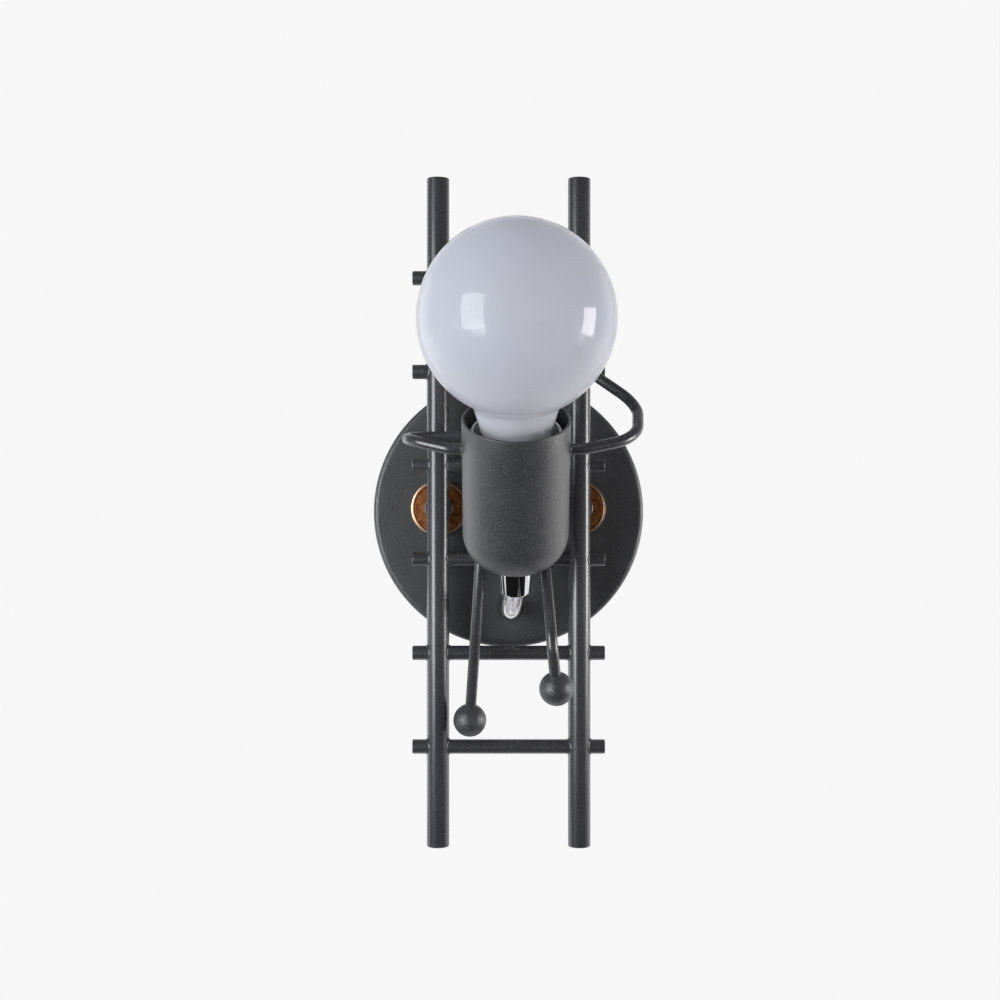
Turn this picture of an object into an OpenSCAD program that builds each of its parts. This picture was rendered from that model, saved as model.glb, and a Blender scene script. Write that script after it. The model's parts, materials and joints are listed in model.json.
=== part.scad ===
// Wall light shaped as a figure climbing a ladder, with an E27 globe bulb for its head.
// Millimetres. The wall is the plane y = 0, the light stands out toward -Y and Z is up.

/* [Canopy] */
// Outer diameter of the pan
canopy_d = 123; // [110:1:160]
// Depth from the wall to the front face
canopy_depth = 22; // [18:0.5:40]
// Sheet thickness
canopy_wall = 1; // [0.8:0.1:2]
// Rounding of the front edge
canopy_edge_r = 2.5; // [1.5:0.5:6]

/* [Wall bracket] */
// Height of the strip
bracket_h = 20; // [14:1:30]
// Sheet thickness
bracket_t = 1.5; // [1:0.1:3]
// Distance between the two wall screws
wall_hole_spacing = 80; // [40:1:90]
// Wall screw hole diameter
wall_hole_d = 4.5; // [3.5:0.1:6]
// Hole for the supply cable
cable_hole_d = 14; // [8:0.5:18]
// Depth of the folded ears
ear_depth = 14; // [10:0.5:20]
// Grub screws through the pan's rim
side_screw_d = 4; // [3:0.5:6]
// Distance of the grub screws from the wall
side_screw_out = 8; // [5:0.5:12]

/* [Ladder] */
// Length of the rails
ladder_h = 298; // [240:1:400]
// Rail diameter
rail_d = 10; // [8:0.1:14]
// Distance between the rail axes
rail_spacing = 63; // [50:0.5:80]
// Rung diameter
rung_d = 6.4; // [4:0.1:8]
// Rung length
rung_l = 85.8; // [80:0.1:110]
// Distance between rungs
rung_pitch = 41.8; // [38:0.1:48]

/* [Posts] */
// Copper washer diameter
washer_d = 25.4; // [20:0.1:36]
// Copper washer thickness
washer_t = 3; // [1.5:0.1:5]
// Width of the washer's bevel
washer_bevel = 0.9; // [0.4:0.1:1.5]
// Post diameter
post_d = 12.8; // [11:0.1:18]
// Post length
post_l = 7; // [5:0.5:20]
// Bevel round both ends of a post
post_edge = 0.6; // [0.3:0.1:1]
// Height of the posts above the canopy's centre
post_lift = 1.8; // [-4:0.1:6]
// Depth of the saddle that takes the rail
post_saddle = 1.2; // [0.5:0.1:2]
// Screw diameter
post_screw_d = 5; // [4:0.5:6]

/* [Figure] */
// Lean of the cup away from the wall, in degrees
lean = 28; // [20:0.5:34]
// Sideways place of the figure
figure_x = 2.8; // [-2:0.1:5]
// Distance of the cup's rim in front of the ladder
rim_ahead = 57.8; // [54:0.1:70]
// Height of the cup's rim above the canopy's centre
rim_z = 38.9; // [30:0.1:50]
// Cup diameter
cup_d = 45; // [44:0.1:48]
// Cup height
cup_h = 69; // [67:0.5:74]
// Cup sheet thickness
cup_wall = 1.2; // [0.8:0.1:2]
// Rounding of the cup's foot
cup_edge_r = 16; // [8:0.5:18]

/* [Limbs] */
// Rod diameter
limb_d = 4.8; // [3:0.1:6]
// Shoulders below the rim
shoulder_drop = 14; // [10:0.5:20]
// Reach of the left elbow, from the canopy's centre
left_reach = 42.9; // [41:0.1:50]
// Height of the left hand
left_hand_z = 33.4; // [28:0.1:38]
// Reach of the right elbow
right_reach = 55; // [52:0.1:62]
// Height of the right hand
right_hand_z = 65; // [60:0.1:70]
// Left hip from the figure's axis
left_hip_x = 15; // [12:0.1:16]
// Right hip from the figure's axis
right_hip_x = 12.7; // [11:0.1:15]
// Foot ball diameter
foot_d = 14.6; // [12:0.1:16]
// Sideways place of the left foot
left_foot_x = -17.2; // [-19:0.1:-12]
// Left foot in front of the ladder
left_foot_ahead = 6; // [4:0.5:20]
// Height of the left foot
left_foot_z = -91.9; // [-92:0.1:-84]
// Right knee in front of the ladder
right_knee_ahead = 50; // [40:0.5:56]
// Height of the right knee
right_knee_z = -54; // [-60:0.5:-48]
// Right foot in front of the ladder
right_foot_ahead = 40; // [36:0.5:54]
// Height of the right foot
right_foot_z = -73.9; // [-84:0.1:-68]

/* [Bulb] */
// Globe diameter
bulb_d = 80; // [70:1:95]
// Length from the globe's crown to the contact
bulb_l = 119; // [112:0.5:130]
// Contact below the cup's rim
bulb_seat = 35; // [32:0.5:40]
// Glass thickness
glass_t = 1; // [0.6:0.1:1.5]
// Neck radius where it leaves the cap
neck_low_r = 14.3; // [13:0.1:14.5]
// Neck radius where it meets the globe
neck_top_r = 18.4; // [15:0.1:20]
// Screw thread pitch
thread_pitch = 3.629; // [3.629:0.001:3.629]
// Diameter over the thread's crests
thread_d = 26.3; // [26.05:0.05:26.45]
// Depth of the thread
thread_depth = 1; // [0.8:0.05:1.1]
// Clearance between the two threads, on the radius
thread_clear = 0.45; // [0.35:0.05:0.5]

/* [Lampholder] */
// Ceramic diameter
socket_d = 37.6; // [33:0.1:38]
// Ceramic rim below the cup's rim
socket_drop = 5; // [4:0.5:7]
// Ceramic height
socket_h = 37; // [36:0.5:40]
// Wall at the ceramic's rim
socket_rim_t = 1.2; // [1.2:0.1:2.2]
// Nipple diameter
nipple_d = 10; // [10:0.1:12]
// Nipple bore
nipple_bore = 7; // [6:0.1:8]

/* [Lead] */
// Gland nut diameter at the cup
gland_d = 14.2; // [12.5:0.1:16]
// Gland nut length
gland_l = 13; // [11:0.5:16]
// Clear sleeve diameter
sleeve_d = 9; // [7.5:0.1:9]
// Sleeve wall
sleeve_t = 1; // [0.8:0.1:1.2]
// Radius of the sleeve's bend
sleeve_bend = 18; // [17:0.1:20]
// Sideways place of the lead hole
lead_x = 0.9; // [0.8:0.1:2.8]
// Lead hole below the canopy's centre
lead_drop = 43.2; // [41:0.1:45]
// Wire diameter over its insulation
wire_d = 2.2; // [1.6:0.1:2.4]

/* [Hidden] */
$fn = 64;
canopy_r = canopy_d / 2;
rail_x = rail_spacing / 2;
cup_r = cup_d / 2;
bulb_r = bulb_d / 2;
screw_play = 0.3;
body_gap = 0.3;
contact_gap = 0.2;
bend_draw = 0.03;
bend_lap = 0.12;
rung_count = 6;
ladder_y = -(canopy_depth + washer_t + post_l + rail_d / 2 - post_saddle);
rim_pos = [figure_x, ladder_y - rim_ahead, rim_z];
lead_z = -lead_drop;
sleeve_grip = 10;
sleeve_inside = 7.6;
sleeve_shift = 0.9;
sleeve_slack = 0.9;
gland_play = 1.1;
gland_taper = 0.2;
gland_edge = 0.5;
wire_x = 1.4;
limb_cope = 0.6;
hand_ahead = rail_d / 2 + limb_d / 2 - limb_cope;
elbow_back = 13.8;
left_upper_l = 5;
left_elbow_drop = 2.6;
left_wrist_out = 4;
left_wrist_drop = 0.4;
left_wrist_x = 1;
left_grip = 12;
left_arm_bends = [10, 12, 8, 6];
right_upper_l = 6;
right_bow = 1.2;
right_elbow_drop = 33.6;
right_wrist_out = 11.2;
right_wrist_drop = 18.2;
right_grip = 9;
right_grip_rise = 3;
right_arm_bends = [14, 18, 18, 8];
knee_bend = 12;
knee_shift = 2.2;
ear_h = 16;
ear_x = sqrt(pow(canopy_r - canopy_wall, 2) - pow(ear_h / 2, 2)) - 1.2;
tab_w = 22;
tab_low = -bracket_h / 2 - 21;
block_x = lead_x;
block_w = 18;
block_h = 14;
block_t = 12;
block_z = tab_low + 2.5 + block_h / 2;
block_out = bracket_t + block_t / 2;
pole_x = 4.5;
contact_d = 9;
stem_r = 3;
stem_head = 14;
stem_head_t = 1.5;
stem_wire_d = 0.8;
filament_d = 2;
filament_low = 8;
filament_low_x = 9;
filament_top_x = 5;
washer_bevel_h = 0.5;
washer_lip = 0.35;
washer_groove = 0.5;
washer_groove_h = 0.35;
charcoal = [0.24, 0.25, 0.26];
copper = [0.72, 0.42, 0.24];
steel = [0.72, 0.73, 0.75];
bright = [0.9, 0.91, 0.93];
brass = [0.8, 0.66, 0.34];
ceramic = [0.92, 0.91, 0.87];
opal = [0.88, 0.88, 0.92];
black = [0.08, 0.08, 0.09];
white = [0.9, 0.9, 0.9];

// levels along the cup's axis, measured from its rim, up being positive
tip_t = -bulb_seat;
bulb_t = tip_t + bulb_l - bulb_r;
cap_top_t = tip_t + 27;
thread_top_t = cap_top_t - 3.2;
thread_low_t = thread_top_t - 18;
cap_low_t = thread_low_t - 1.6;
insulator_low_t = tip_t + 1;
join_t = bulb_t - sqrt(bulb_r * bulb_r - neck_top_r * neck_top_r);
plug_r = 10.9;
neck_foot = 1.2;
plug_low_t = cap_top_t - 6;
socket_top_t = -socket_drop;
socket_low_t = socket_top_t - socket_h;
shell_top_t = thread_top_t - 0.8;
shell_low_t = tip_t + 2.4;
shell_r = 14.5;
thread_fade = 1.5;
cap_r = thread_d / 2 - thread_depth / 2;
shell_bore_r = cap_r + thread_clear;
contact_floor_t = tip_t - 1.6;
yoke_t = 1.2;
yoke_low_t = -cup_h + 12;
nut_h = 2.5;
lock_nut_h = 4;
nipple_top_t = yoke_low_t + yoke_t + nut_h + 0.6;
nipple_low_t = -cup_h - gland_l + sleeve_grip;
gland_low_t = -cup_h - gland_l;
terminal_x = 8.5;
yoke_y = socket_d / 2 - 1.2;
contact_rivet_x = 6.5;
shell_rivet_x = 12.4;

function unit(v) = v / norm(v);
function rung_z(i) = ((rung_count + 1) / 2 - i) * rung_pitch;
function ahead(x, out, z) = [x, ladder_y - out, z];
function from_figure(p) = rim_pos
  + [p.x, p.y * cos(lean) - p.z * sin(lean), p.y * sin(lean) + p.z * cos(lean)];
function setback(a, b, c, r) = r * tan(acos(unit(b - a) * unit(c - b)) / 2);

// local x and y lie in the wall, local z comes out of it
module on_wall() {
  rotate([90, 0, 0]) children();
}

// local z runs up the cup's axis, from its rim
module in_figure() {
  translate(rim_pos) rotate([lean, 0, 0]) children();
}

module straight(from, to, d) {
  v = to - from;
  translate(from)
    rotate([0, acos(v.z / norm(v)), atan2(v.y, v.x)])
      cylinder(d = d, h = norm(v));
}

module elbow(a, b, c, r, d) {
  u = unit(b - a);
  w = unit(c - b);
  inward = unit(w - u * (u * w));
  axis = unit(cross(u, w));
  o = b - u * setback(a, b, c, r) + inward * r;
  multmatrix([
    [-inward.x, u.x, axis.x, o.x],
    [-inward.y, u.y, axis.y, o.y],
    [-inward.z, u.z, axis.z, o.z],
    [0, 0, 0, 1],
  ])
    rotate_extrude(angle = acos(u * w)) translate([r, 0]) circle(d = d - bend_draw);
}

// rod of diameter d through the points, with one bend radius for each inner point;
// a bend draws the rod a little thinner and starts inside the straight's end
module bent_rod(pts, radii, d) {
  last = len(pts) - 1;
  for (i = [0 : last - 1]) {
    dir = unit(pts[i + 1] - pts[i]);
    cut_a = i == 0 ? 0 : setback(pts[i - 1], pts[i], pts[i + 1], radii[i - 1]);
    cut_b = i == last - 1 ? 0 : setback(pts[i], pts[i + 1], pts[i + 2], radii[i]);
    lap_a = i == 0 ? 0 : bend_lap;
    lap_b = i == last - 1 ? 0 : bend_lap;
    straight(pts[i] + dir * (cut_a - lap_a), pts[i + 1] - dir * (cut_b - lap_b), d);
  }
  for (i = [1 : last - 1])
    elbow(pts[i - 1], pts[i], pts[i + 1], radii[i - 1], d);
}

// tube between two stacks of rings, each ring being [height, radius, thread depth]
module ring_shell(outer, inner) {
  n = 32;
  rows = concat(outer, inner);
  m = len(outer);
  k = len(inner);
  pts = [
    for (row = rows)
      for (i = [0 : n - 1])
        let (a = 360 * i / n)
          let (r = row[1] + row[2] / 2 * cos(360 * row[0] / thread_pitch - a))
            [r * cos(a), r * sin(a), row[0]]
  ];
  outside = [
    for (j = [0 : m - 2])
      for (i = [0 : n - 1])
        [j * n + i, (j + 1) * n + i, (j + 1) * n + (i + 1) % n, j * n + (i + 1) % n]
  ];
  inside = [
    for (j = [m : m + k - 2])
      for (i = [0 : n - 1])
        [j * n + i, j * n + (i + 1) % n, (j + 1) * n + (i + 1) % n, (j + 1) * n + i]
  ];
  top = [
    for (i = [0 : n - 1])
      let (o = (m - 1) * n, p = (m + k - 1) * n, e = (i + 1) % n)
        [o + i, p + i, p + e, o + e]
  ];
  low = [
    for (i = [0 : n - 1])
      let (p = m * n, e = (i + 1) % n)
        [i, e, p + e, p + i]
  ];
  quads = concat(outside, inside, top, low);
  polyhedron(
    points = pts,
    faces = [for (q = quads) for (s = [0, 1]) s == 0 ? [q[0], q[1], q[2]] : [q[0], q[2], q[3]]]
  );
}

// thread that fades into its root at both ends; the root is inward at side -1, outward at side 1
function thread_rows(low, top, r, fade, side) =
  let (n = round((top - low) / thread_pitch * 6))
    [
      for (i = [0 : n])
        let (z = low + (top - low) * i / n)
          let (depth = thread_depth * min(1, (z - low) / fade, (top - z) / fade))
            [z, r + side * (thread_depth - depth) / 2, depth]
    ];

module pan(r, h, edge) {
  rotate_extrude() {
    square([r, h - edge]);
    square([r - edge, h]);
    translate([r - edge, h - edge]) circle(edge);
  }
}

module washer(d, hole, h) {
  difference() {
    cylinder(d = d, h = h);
    translate([0, 0, -1]) cylinder(d = hole, h = h + 2);
  }
}

module chamfered(d, h, c) {
  rotate_extrude()
    polygon([[0, 0], [d / 2 - c, 0], [d / 2, c], [d / 2, h - c], [d / 2 - c, h], [0, h]]);
}

module hex_nut(flats, bore, h) {
  difference() {
    cylinder(d = flats / cos(30), h = h, $fn = 6);
    translate([0, 0, -1]) cylinder(d = bore, h = h + 2);
  }
}

// pan-head screw: the head stands on z = 0 and the shank goes down
module slot_screw(d, l, head_d, head_h) {
  difference() {
    union() {
      cylinder(d = head_d, h = head_h);
      translate([0, 0, -l]) cylinder(d = d, h = l + 0.1);
    }
    translate([-head_d, -d * 0.1, head_h * 0.55]) cube([head_d * 2, d * 0.2, head_h]);
  }
}

// wall side

module canopy() {
  color(charcoal) on_wall() difference() {
    pan(canopy_r, canopy_depth, canopy_edge_r);
    translate([0, 0, -canopy_wall])
      pan(canopy_r - canopy_wall, canopy_depth, canopy_edge_r - canopy_wall);
    for (s = [-1, 1]) {
      translate([s * rail_x, post_lift, canopy_depth - 4])
        cylinder(d = post_screw_d + screw_play, h = 8);
      translate([s * (canopy_r - 4), 0, side_screw_out])
        rotate([0, s * 90, 0]) cylinder(d = side_screw_d + screw_play, h = 8);
    }
    translate([lead_x, lead_z, canopy_depth - 4]) cylinder(d = sleeve_d + 1.6, h = 8);
  }
}

module wall_bracket() {
  color(steel) on_wall() difference() {
    union() {
      translate([-ear_x, -bracket_h / 2, 0]) cube([2 * ear_x, bracket_h, bracket_t]);
      translate([block_x - tab_w / 2, tab_low, 0]) cube([tab_w, -tab_low, bracket_t]);
      for (s = [-1, 1])
        translate([s * (ear_x - bracket_t / 2), 0, ear_depth / 2])
          cube([bracket_t, ear_h, ear_depth], center = true);
    }
    translate([0, 0, -1]) cylinder(d = cable_hole_d, h = bracket_t + 2);
    for (s = [-1, 1]) {
      translate([s * wall_hole_spacing / 2, 0, -1]) cylinder(d = wall_hole_d, h = bracket_t + 2);
      translate([s * (ear_x - 4), 0, side_screw_out])
        rotate([0, s * 90, 0]) cylinder(d = side_screw_d, h = 8);
    }
    translate([block_x, block_z, -1]) cylinder(d = 3, h = bracket_t + 2);
    translate([-20, 0, -1]) cylinder(d = 4, h = bracket_t + 2);
  }
}

module canopy_side_screws() {
  color(steel) on_wall()
    for (s = [-1, 1])
      translate([s * (canopy_r - 0.2), 0, side_screw_out])
        rotate([0, s * 90, 0]) difference() {
          translate([0, 0, -8]) cylinder(d = side_screw_d, h = 8);
          translate([-side_screw_d, -0.4, -1]) cube([side_screw_d * 2, 0.8, 2]);
        }
}

module earth_screw() {
  color(brass) on_wall()
    translate([-20, 0, bracket_t]) slot_screw(4, bracket_t, 7.5, 2.6);
}

module terminal_block() {
  color(white) on_wall() difference() {
    translate([block_x, block_z, block_out]) cube([block_w, block_h, block_t], center = true);
    for (s = [-1, 1]) {
      translate([block_x + s * pole_x, block_z - block_h, block_out])
        rotate([-90, 0, 0]) cylinder(d = 5, h = block_h * 2);
      for (e = [-1, 1])
        translate([block_x + s * pole_x, block_z + e * 3.6, block_out])
          cylinder(d = 3, h = block_t);
    }
    translate([block_x, block_z, -1]) cylinder(d = 3, h = block_t * 2);
    translate([block_x, block_z, bracket_t + 4]) cylinder(d = 3.4, h = block_t);
  }
}

module terminal_inserts() {
  color(brass) on_wall()
    for (s = [-1, 1])
      translate([block_x + s * pole_x, block_z, block_out]) difference() {
        rotate([-90, 0, 0]) translate([0, 0, 1 - block_h / 2]) washer(5, wire_d + 0.4, block_h - 2);
        for (e = [-1, 1])
          translate([0, e * 3.6, 0]) cylinder(d = 3, h = 4);
      }
}

module terminal_screws() {
  color(steel) on_wall()
    for (s = [-1, 1])
      for (e = [-1, 1])
        translate([block_x + s * pole_x, block_z + e * 3.6, block_out + wire_d / 2 + 0.2])
          difference() {
            cylinder(d = 3, h = 3.6);
            translate([-2, -0.3, 2.8]) cube([4, 0.6, 2]);
          }
}

module terminal_block_screw() {
  color(steel) on_wall()
    translate([block_x, block_z, bracket_t + 4])
      difference() {
        translate([0, 0, -4 - bracket_t]) union() {
          cylinder(d = 3, h = 4 + bracket_t);
          translate([0, 0, 4 + bracket_t]) cylinder(d = 3.4, h = 2);
        }
        translate([-2, -0.3, 1.2]) cube([4, 0.6, 2]);
      }
}

module lead_grommet() {
  color(black) on_wall()
    translate([lead_x, lead_z, canopy_depth]) difference() {
      union() {
        chamfered(sleeve_d + 3.2, 1, 0.3);
        translate([0, 0, -canopy_wall - 0.1]) cylinder(d = sleeve_d + 1.6, h = canopy_wall + 0.2);
        translate([0, 0, -canopy_wall - 1.6]) chamfered(sleeve_d + 3.2, 1.6, 0.5);
      }
      translate([0, 0, -5]) cylinder(d = sleeve_d, h = 10);
    }
}

// posts

washer_lip_r = washer_d / 2 - washer_bevel;

module post_washer(s) {
  color(copper) on_wall()
    translate([s * rail_x, post_lift, canopy_depth]) difference() {
      rotate_extrude()
        polygon([
          [0, 0],
          [washer_d / 2, 0],
          [washer_d / 2, washer_t - washer_bevel_h],
          [washer_lip_r, washer_t],
          [washer_lip_r - washer_lip, washer_t],
          [washer_lip_r - washer_lip, washer_t - washer_groove_h],
          [washer_lip_r - washer_lip - washer_groove, washer_t - washer_groove_h],
          [washer_lip_r - washer_lip - washer_groove, washer_t],
          [0, washer_t],
        ]);
      translate([0, 0, -1]) cylinder(d = post_screw_d + screw_play, h = washer_t + 2);
    }
}

module post(s) {
  color(charcoal) difference() {
    on_wall() translate([s * rail_x, post_lift, canopy_depth + washer_t]) difference() {
      chamfered(post_d, post_l, post_edge);
      translate([0, 0, -1]) cylinder(d = post_screw_d + screw_play, h = post_l + 2);
    }
    rail_solid(s);
  }
}

post_screw_l = canopy_wall + washer_t + post_l - post_saddle + rail_d * 0.7;

module post_screws() {
  color(steel) on_wall()
    for (s = [-1, 1])
      translate([s * rail_x, post_lift, canopy_depth - canopy_wall - 1.2])
        rotate([180, 0, 0]) slot_screw(post_screw_d, post_screw_l + 1.2, 9, 3);
}

module post_spring_washers() {
  color(steel) on_wall()
    for (s = [-1, 1])
      translate([s * rail_x, post_lift, canopy_depth - canopy_wall - 1.2])
        washer(8.6, post_screw_d + 0.2, 1.2);
}

// ladder

module rail_solid(s) {
  translate([s * rail_x, ladder_y, -ladder_h / 2]) chamfered(rail_d, ladder_h, 0.6);
}

module rail(s) {
  color(charcoal) difference() {
    rail_solid(s);
    for (i = [1 : rung_count])
      translate([s * rail_x - rail_d, ladder_y, rung_z(i)])
        rotate([0, 90, 0]) cylinder(d = rung_d, h = 2 * rail_d);
    translate([s * rail_x, ladder_y, post_lift])
      rotate([-90, 0, 0]) translate([0, 0, rail_d / 2 - rail_d * 0.7])
        cylinder(d = post_screw_d, h = rail_d);
  }
}

module rung(i) {
  color(charcoal)
    translate([-rung_l / 2, ladder_y, rung_z(i)])
      rotate([0, 90, 0]) chamfered(rung_d, rung_l, 0.4);
}

// figure

module cup_solid(r, h, edge) {
  rotate_extrude() {
    translate([0, edge - h]) square([r, h - edge]);
    translate([0, -h]) square([r - edge, edge]);
    translate([r - edge, edge - h]) intersection() {
      circle(edge);
      translate([0, -edge]) square([edge, edge]);
    }
  }
}

function shoulder(s, out) = from_figure([s * out, 0, -shoulder_drop]);
function hip(x) =
  let (f = abs(x) - (cup_r - cup_edge_r))
    from_figure([x, 0, cup_edge_r - cup_h - sqrt(cup_edge_r * cup_edge_r - f * f)]);

// shoulder, upper arm, elbow, forearm, wrist and hand of each arm
left_arm_pts = [
  shoulder(-1, cup_r - cup_wall - limb_cope),
  shoulder(-1, cup_r + left_upper_l),
  ahead(-left_reach, rim_ahead - elbow_back, left_hand_z - left_elbow_drop),
  ahead(-left_reach, hand_ahead + left_wrist_out, left_hand_z - left_wrist_drop),
  ahead(-rail_x - left_wrist_x, hand_ahead, left_hand_z),
  ahead(-rail_x + left_grip, hand_ahead, left_hand_z),
];

right_arm_pts = [
  shoulder(1, cup_r - cup_wall - limb_cope),
  shoulder(1, cup_r + right_upper_l),
  ahead(right_reach - right_bow, rim_ahead - elbow_back, right_hand_z - right_elbow_drop),
  ahead(right_reach + right_bow, hand_ahead + right_wrist_out, right_hand_z - right_wrist_drop),
  ahead(rail_x, hand_ahead, right_hand_z),
  ahead(rail_x - right_grip, hand_ahead, right_hand_z + right_grip_rise),
];

left_foot_pos = ahead(left_foot_x, left_foot_ahead, left_foot_z);
right_foot_pos = ahead(figure_x + right_hip_x + 2 * knee_shift, right_foot_ahead, right_foot_z);
right_knee_pos = ahead(figure_x + right_hip_x + knee_shift, right_knee_ahead, right_knee_z);
left_hip = hip(-left_hip_x);
right_hip = hip(right_hip_x);
left_leg_dir = unit(left_foot_pos - left_hip);
right_leg_dir = unit(right_knee_pos - right_hip);

module lamp_cup() {
  color(charcoal) difference() {
    in_figure() difference() {
      cup_solid(cup_r, cup_h, cup_edge_r);
      cup_solid(cup_r - cup_wall, cup_h - cup_wall, cup_edge_r - cup_wall);
      translate([0, 0, -1]) cylinder(r = cup_r - cup_wall, h = 2);
      translate([0, 0, -cup_h - 1]) cylinder(d = nipple_d, h = cup_wall + 2);
      for (s = [-1, 1])
        translate([s * (cup_r - 4), 0, -shoulder_drop])
          rotate([0, s * 90, 0]) cylinder(d = limb_d, h = 8);
    }
    straight(left_hip - left_leg_dir * 4, left_hip + left_leg_dir * 4, limb_d);
    straight(right_hip - right_leg_dir * 4, right_hip + right_leg_dir * 4, limb_d);
  }
}

module left_arm() {
  color(charcoal) difference() {
    bent_rod(left_arm_pts, left_arm_bends, limb_d);
    rail_solid(-1);
  }
}

module right_arm() {
  color(charcoal) difference() {
    bent_rod(right_arm_pts, right_arm_bends, limb_d);
    rail_solid(1);
  }
}

module left_leg() {
  color(charcoal)
    straight(left_hip - left_leg_dir * (cup_wall + 0.8), left_foot_pos, limb_d);
}

module right_leg() {
  color(charcoal)
    bent_rod(
      [right_hip - right_leg_dir * (cup_wall + 0.8), right_knee_pos, right_foot_pos],
      [knee_bend],
      limb_d
    );
}

module left_foot() {
  color(charcoal) difference() {
    translate(left_foot_pos) sphere(d = foot_d);
    straight(left_foot_pos - left_leg_dir * foot_d, left_foot_pos, limb_d);
  }
}

module right_foot() {
  color(charcoal) difference() {
    translate(right_foot_pos) sphere(d = foot_d);
    straight(
      right_foot_pos - unit(right_foot_pos - right_knee_pos) * foot_d,
      right_foot_pos,
      limb_d
    );
  }
}

module nipple() {
  color(steel) in_figure()
    translate([0, 0, nipple_low_t]) washer(nipple_d, nipple_bore, nipple_top_t - nipple_low_t);
}

module gland_nut() {
  color(bright) in_figure() difference() {
    rotate_extrude()
      polygon([
        [0, gland_low_t],
        [gland_d / 2 - gland_taper - gland_edge, gland_low_t],
        [gland_d / 2 - gland_taper, gland_low_t + gland_edge],
        [gland_d / 2, -cup_h - 3],
        [gland_d / 2, -cup_h - 0.4],
        [gland_d / 2 - 0.4, -cup_h],
        [0, -cup_h],
      ]);
    translate([0, 0, nipple_low_t]) cylinder(d = nipple_d, h = 20);
    translate([0, 0, gland_low_t - 1]) cylinder(d = sleeve_d + 2 * gland_play, h = sleeve_grip + 1);
    translate([0, 0, gland_low_t]) cylinder(d = nipple_bore, h = gland_l + 1);
  }
}

module cup_lock_nut() {
  color(steel) in_figure()
    translate([0, 0, cup_wall - cup_h]) hex_nut(13, nipple_d, lock_nut_h);
}

// lampholder

module socket_yoke() {
  color(steel) in_figure() difference() {
    union() {
      translate([-6, -yoke_y - yoke_t, yoke_low_t]) cube([12, 2 * (yoke_y + yoke_t), yoke_t]);
      for (s = [-1, 1])
        translate([-6, s * (yoke_y + yoke_t / 2) - yoke_t / 2, yoke_low_t])
          cube([12, yoke_t, socket_low_t + 8 - yoke_low_t]);
    }
    translate([0, 0, yoke_low_t - 1]) cylinder(d = nipple_d, h = yoke_t + 2);
    for (s = [-1, 1])
      translate([0, s * (yoke_y - 2), socket_low_t + 4])
        rotate([-s * 90, 0, 0]) cylinder(d = 3, h = 8);
  }
}

module yoke_nut() {
  color(steel) in_figure()
    translate([0, 0, yoke_low_t + yoke_t]) hex_nut(13, nipple_d, nut_h);
}

module yoke_screws() {
  color(steel) in_figure()
    for (s = [-1, 1])
      translate([0, s * (yoke_y + yoke_t), socket_low_t + 4])
        rotate([-s * 90, 0, 0]) slot_screw(3, yoke_t + 5, 5.5, 1.6);
}

module socket_body() {
  color(ceramic) in_figure() difference() {
    translate([0, 0, socket_low_t]) chamfered(socket_d, socket_h, 0.5);
    translate([0, 0, shell_top_t + 0.6])
      cylinder(r = socket_d / 2 - socket_rim_t, h = 20);
    translate([0, 0, shell_low_t]) cylinder(r = shell_r + 0.1, h = 30);
    translate([0, 0, contact_floor_t]) cylinder(r = 9.5, h = 10);
    translate([-contact_rivet_x, 0, socket_low_t - 1]) cylinder(d = 3, h = 10);
    translate([shell_rivet_x, 0, socket_low_t - 1]) cylinder(d = 2.6, h = 20);
    for (s = [-1, 1]) {
      translate([0, s * (yoke_y - 5), socket_low_t + 4])
        rotate([-s * 90, 0, 0]) cylinder(d = 3, h = 10);
      translate([-7, s * (yoke_y + 2) - 2, socket_low_t - 1]) cube([14, 4, 9.2]);
    }
  }
}

module socket_shell() {
  color(brass) in_figure() {
    ring_shell(
      [[shell_low_t, shell_r, 0], [shell_top_t, shell_r, 0]],
      thread_rows(shell_low_t, shell_top_t, shell_bore_r, thread_fade, 1)
    );
  }
}

module socket_contact() {
  color(brass) in_figure()
    translate([0, 3, 0]) rotate([90, 0, 0]) linear_extrude(6)
      polygon([
        [-9, contact_floor_t],
        [-3.4, contact_floor_t],
        [-1.4, tip_t - body_gap - 0.5],
        [4.6, tip_t - body_gap - 0.5],
        [4.6, tip_t - body_gap],
        [-1.7, tip_t - body_gap],
        [-3.7, contact_floor_t + 0.5],
        [-9, contact_floor_t + 0.5],
      ]);
}

module socket_rivets() {
  color(brass) in_figure() {
    translate([-contact_rivet_x, 0, socket_low_t])
      cylinder(d = 3, h = contact_floor_t - socket_low_t);
    translate([shell_rivet_x, 0, socket_low_t]) cylinder(d = 2.6, h = shell_low_t - socket_low_t);
  }
}

module socket_terminals() {
  color(brass) in_figure()
    for (s = [-1, 1])
      translate([s * (terminal_x + 1), 0, socket_low_t - 2.5]) difference() {
        cube([8, 6, 5], center = true);
        translate([-s, 0, -4]) cylinder(d = wire_d, h = 6);
        translate([s, -4, 0]) rotate([-90, 0, 0]) cylinder(d = 2, h = 8);
      }
}

module socket_terminal_screws() {
  color(steel) in_figure()
    for (s = [-1, 1])
      translate([s * (terminal_x + 2), -3, socket_low_t - 2.5])
        rotate([90, 0, 0]) slot_screw(2, 5, 3.8, 1.4);
}

// lead

sleeve_corner_t = (lead_z - rim_z) / cos(lean);
sleeve_in_y = -canopy_depth + canopy_wall + sleeve_inside;
sleeve_top_t = nipple_low_t - sleeve_slack;
lead_shift = lead_x - figure_x;

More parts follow.
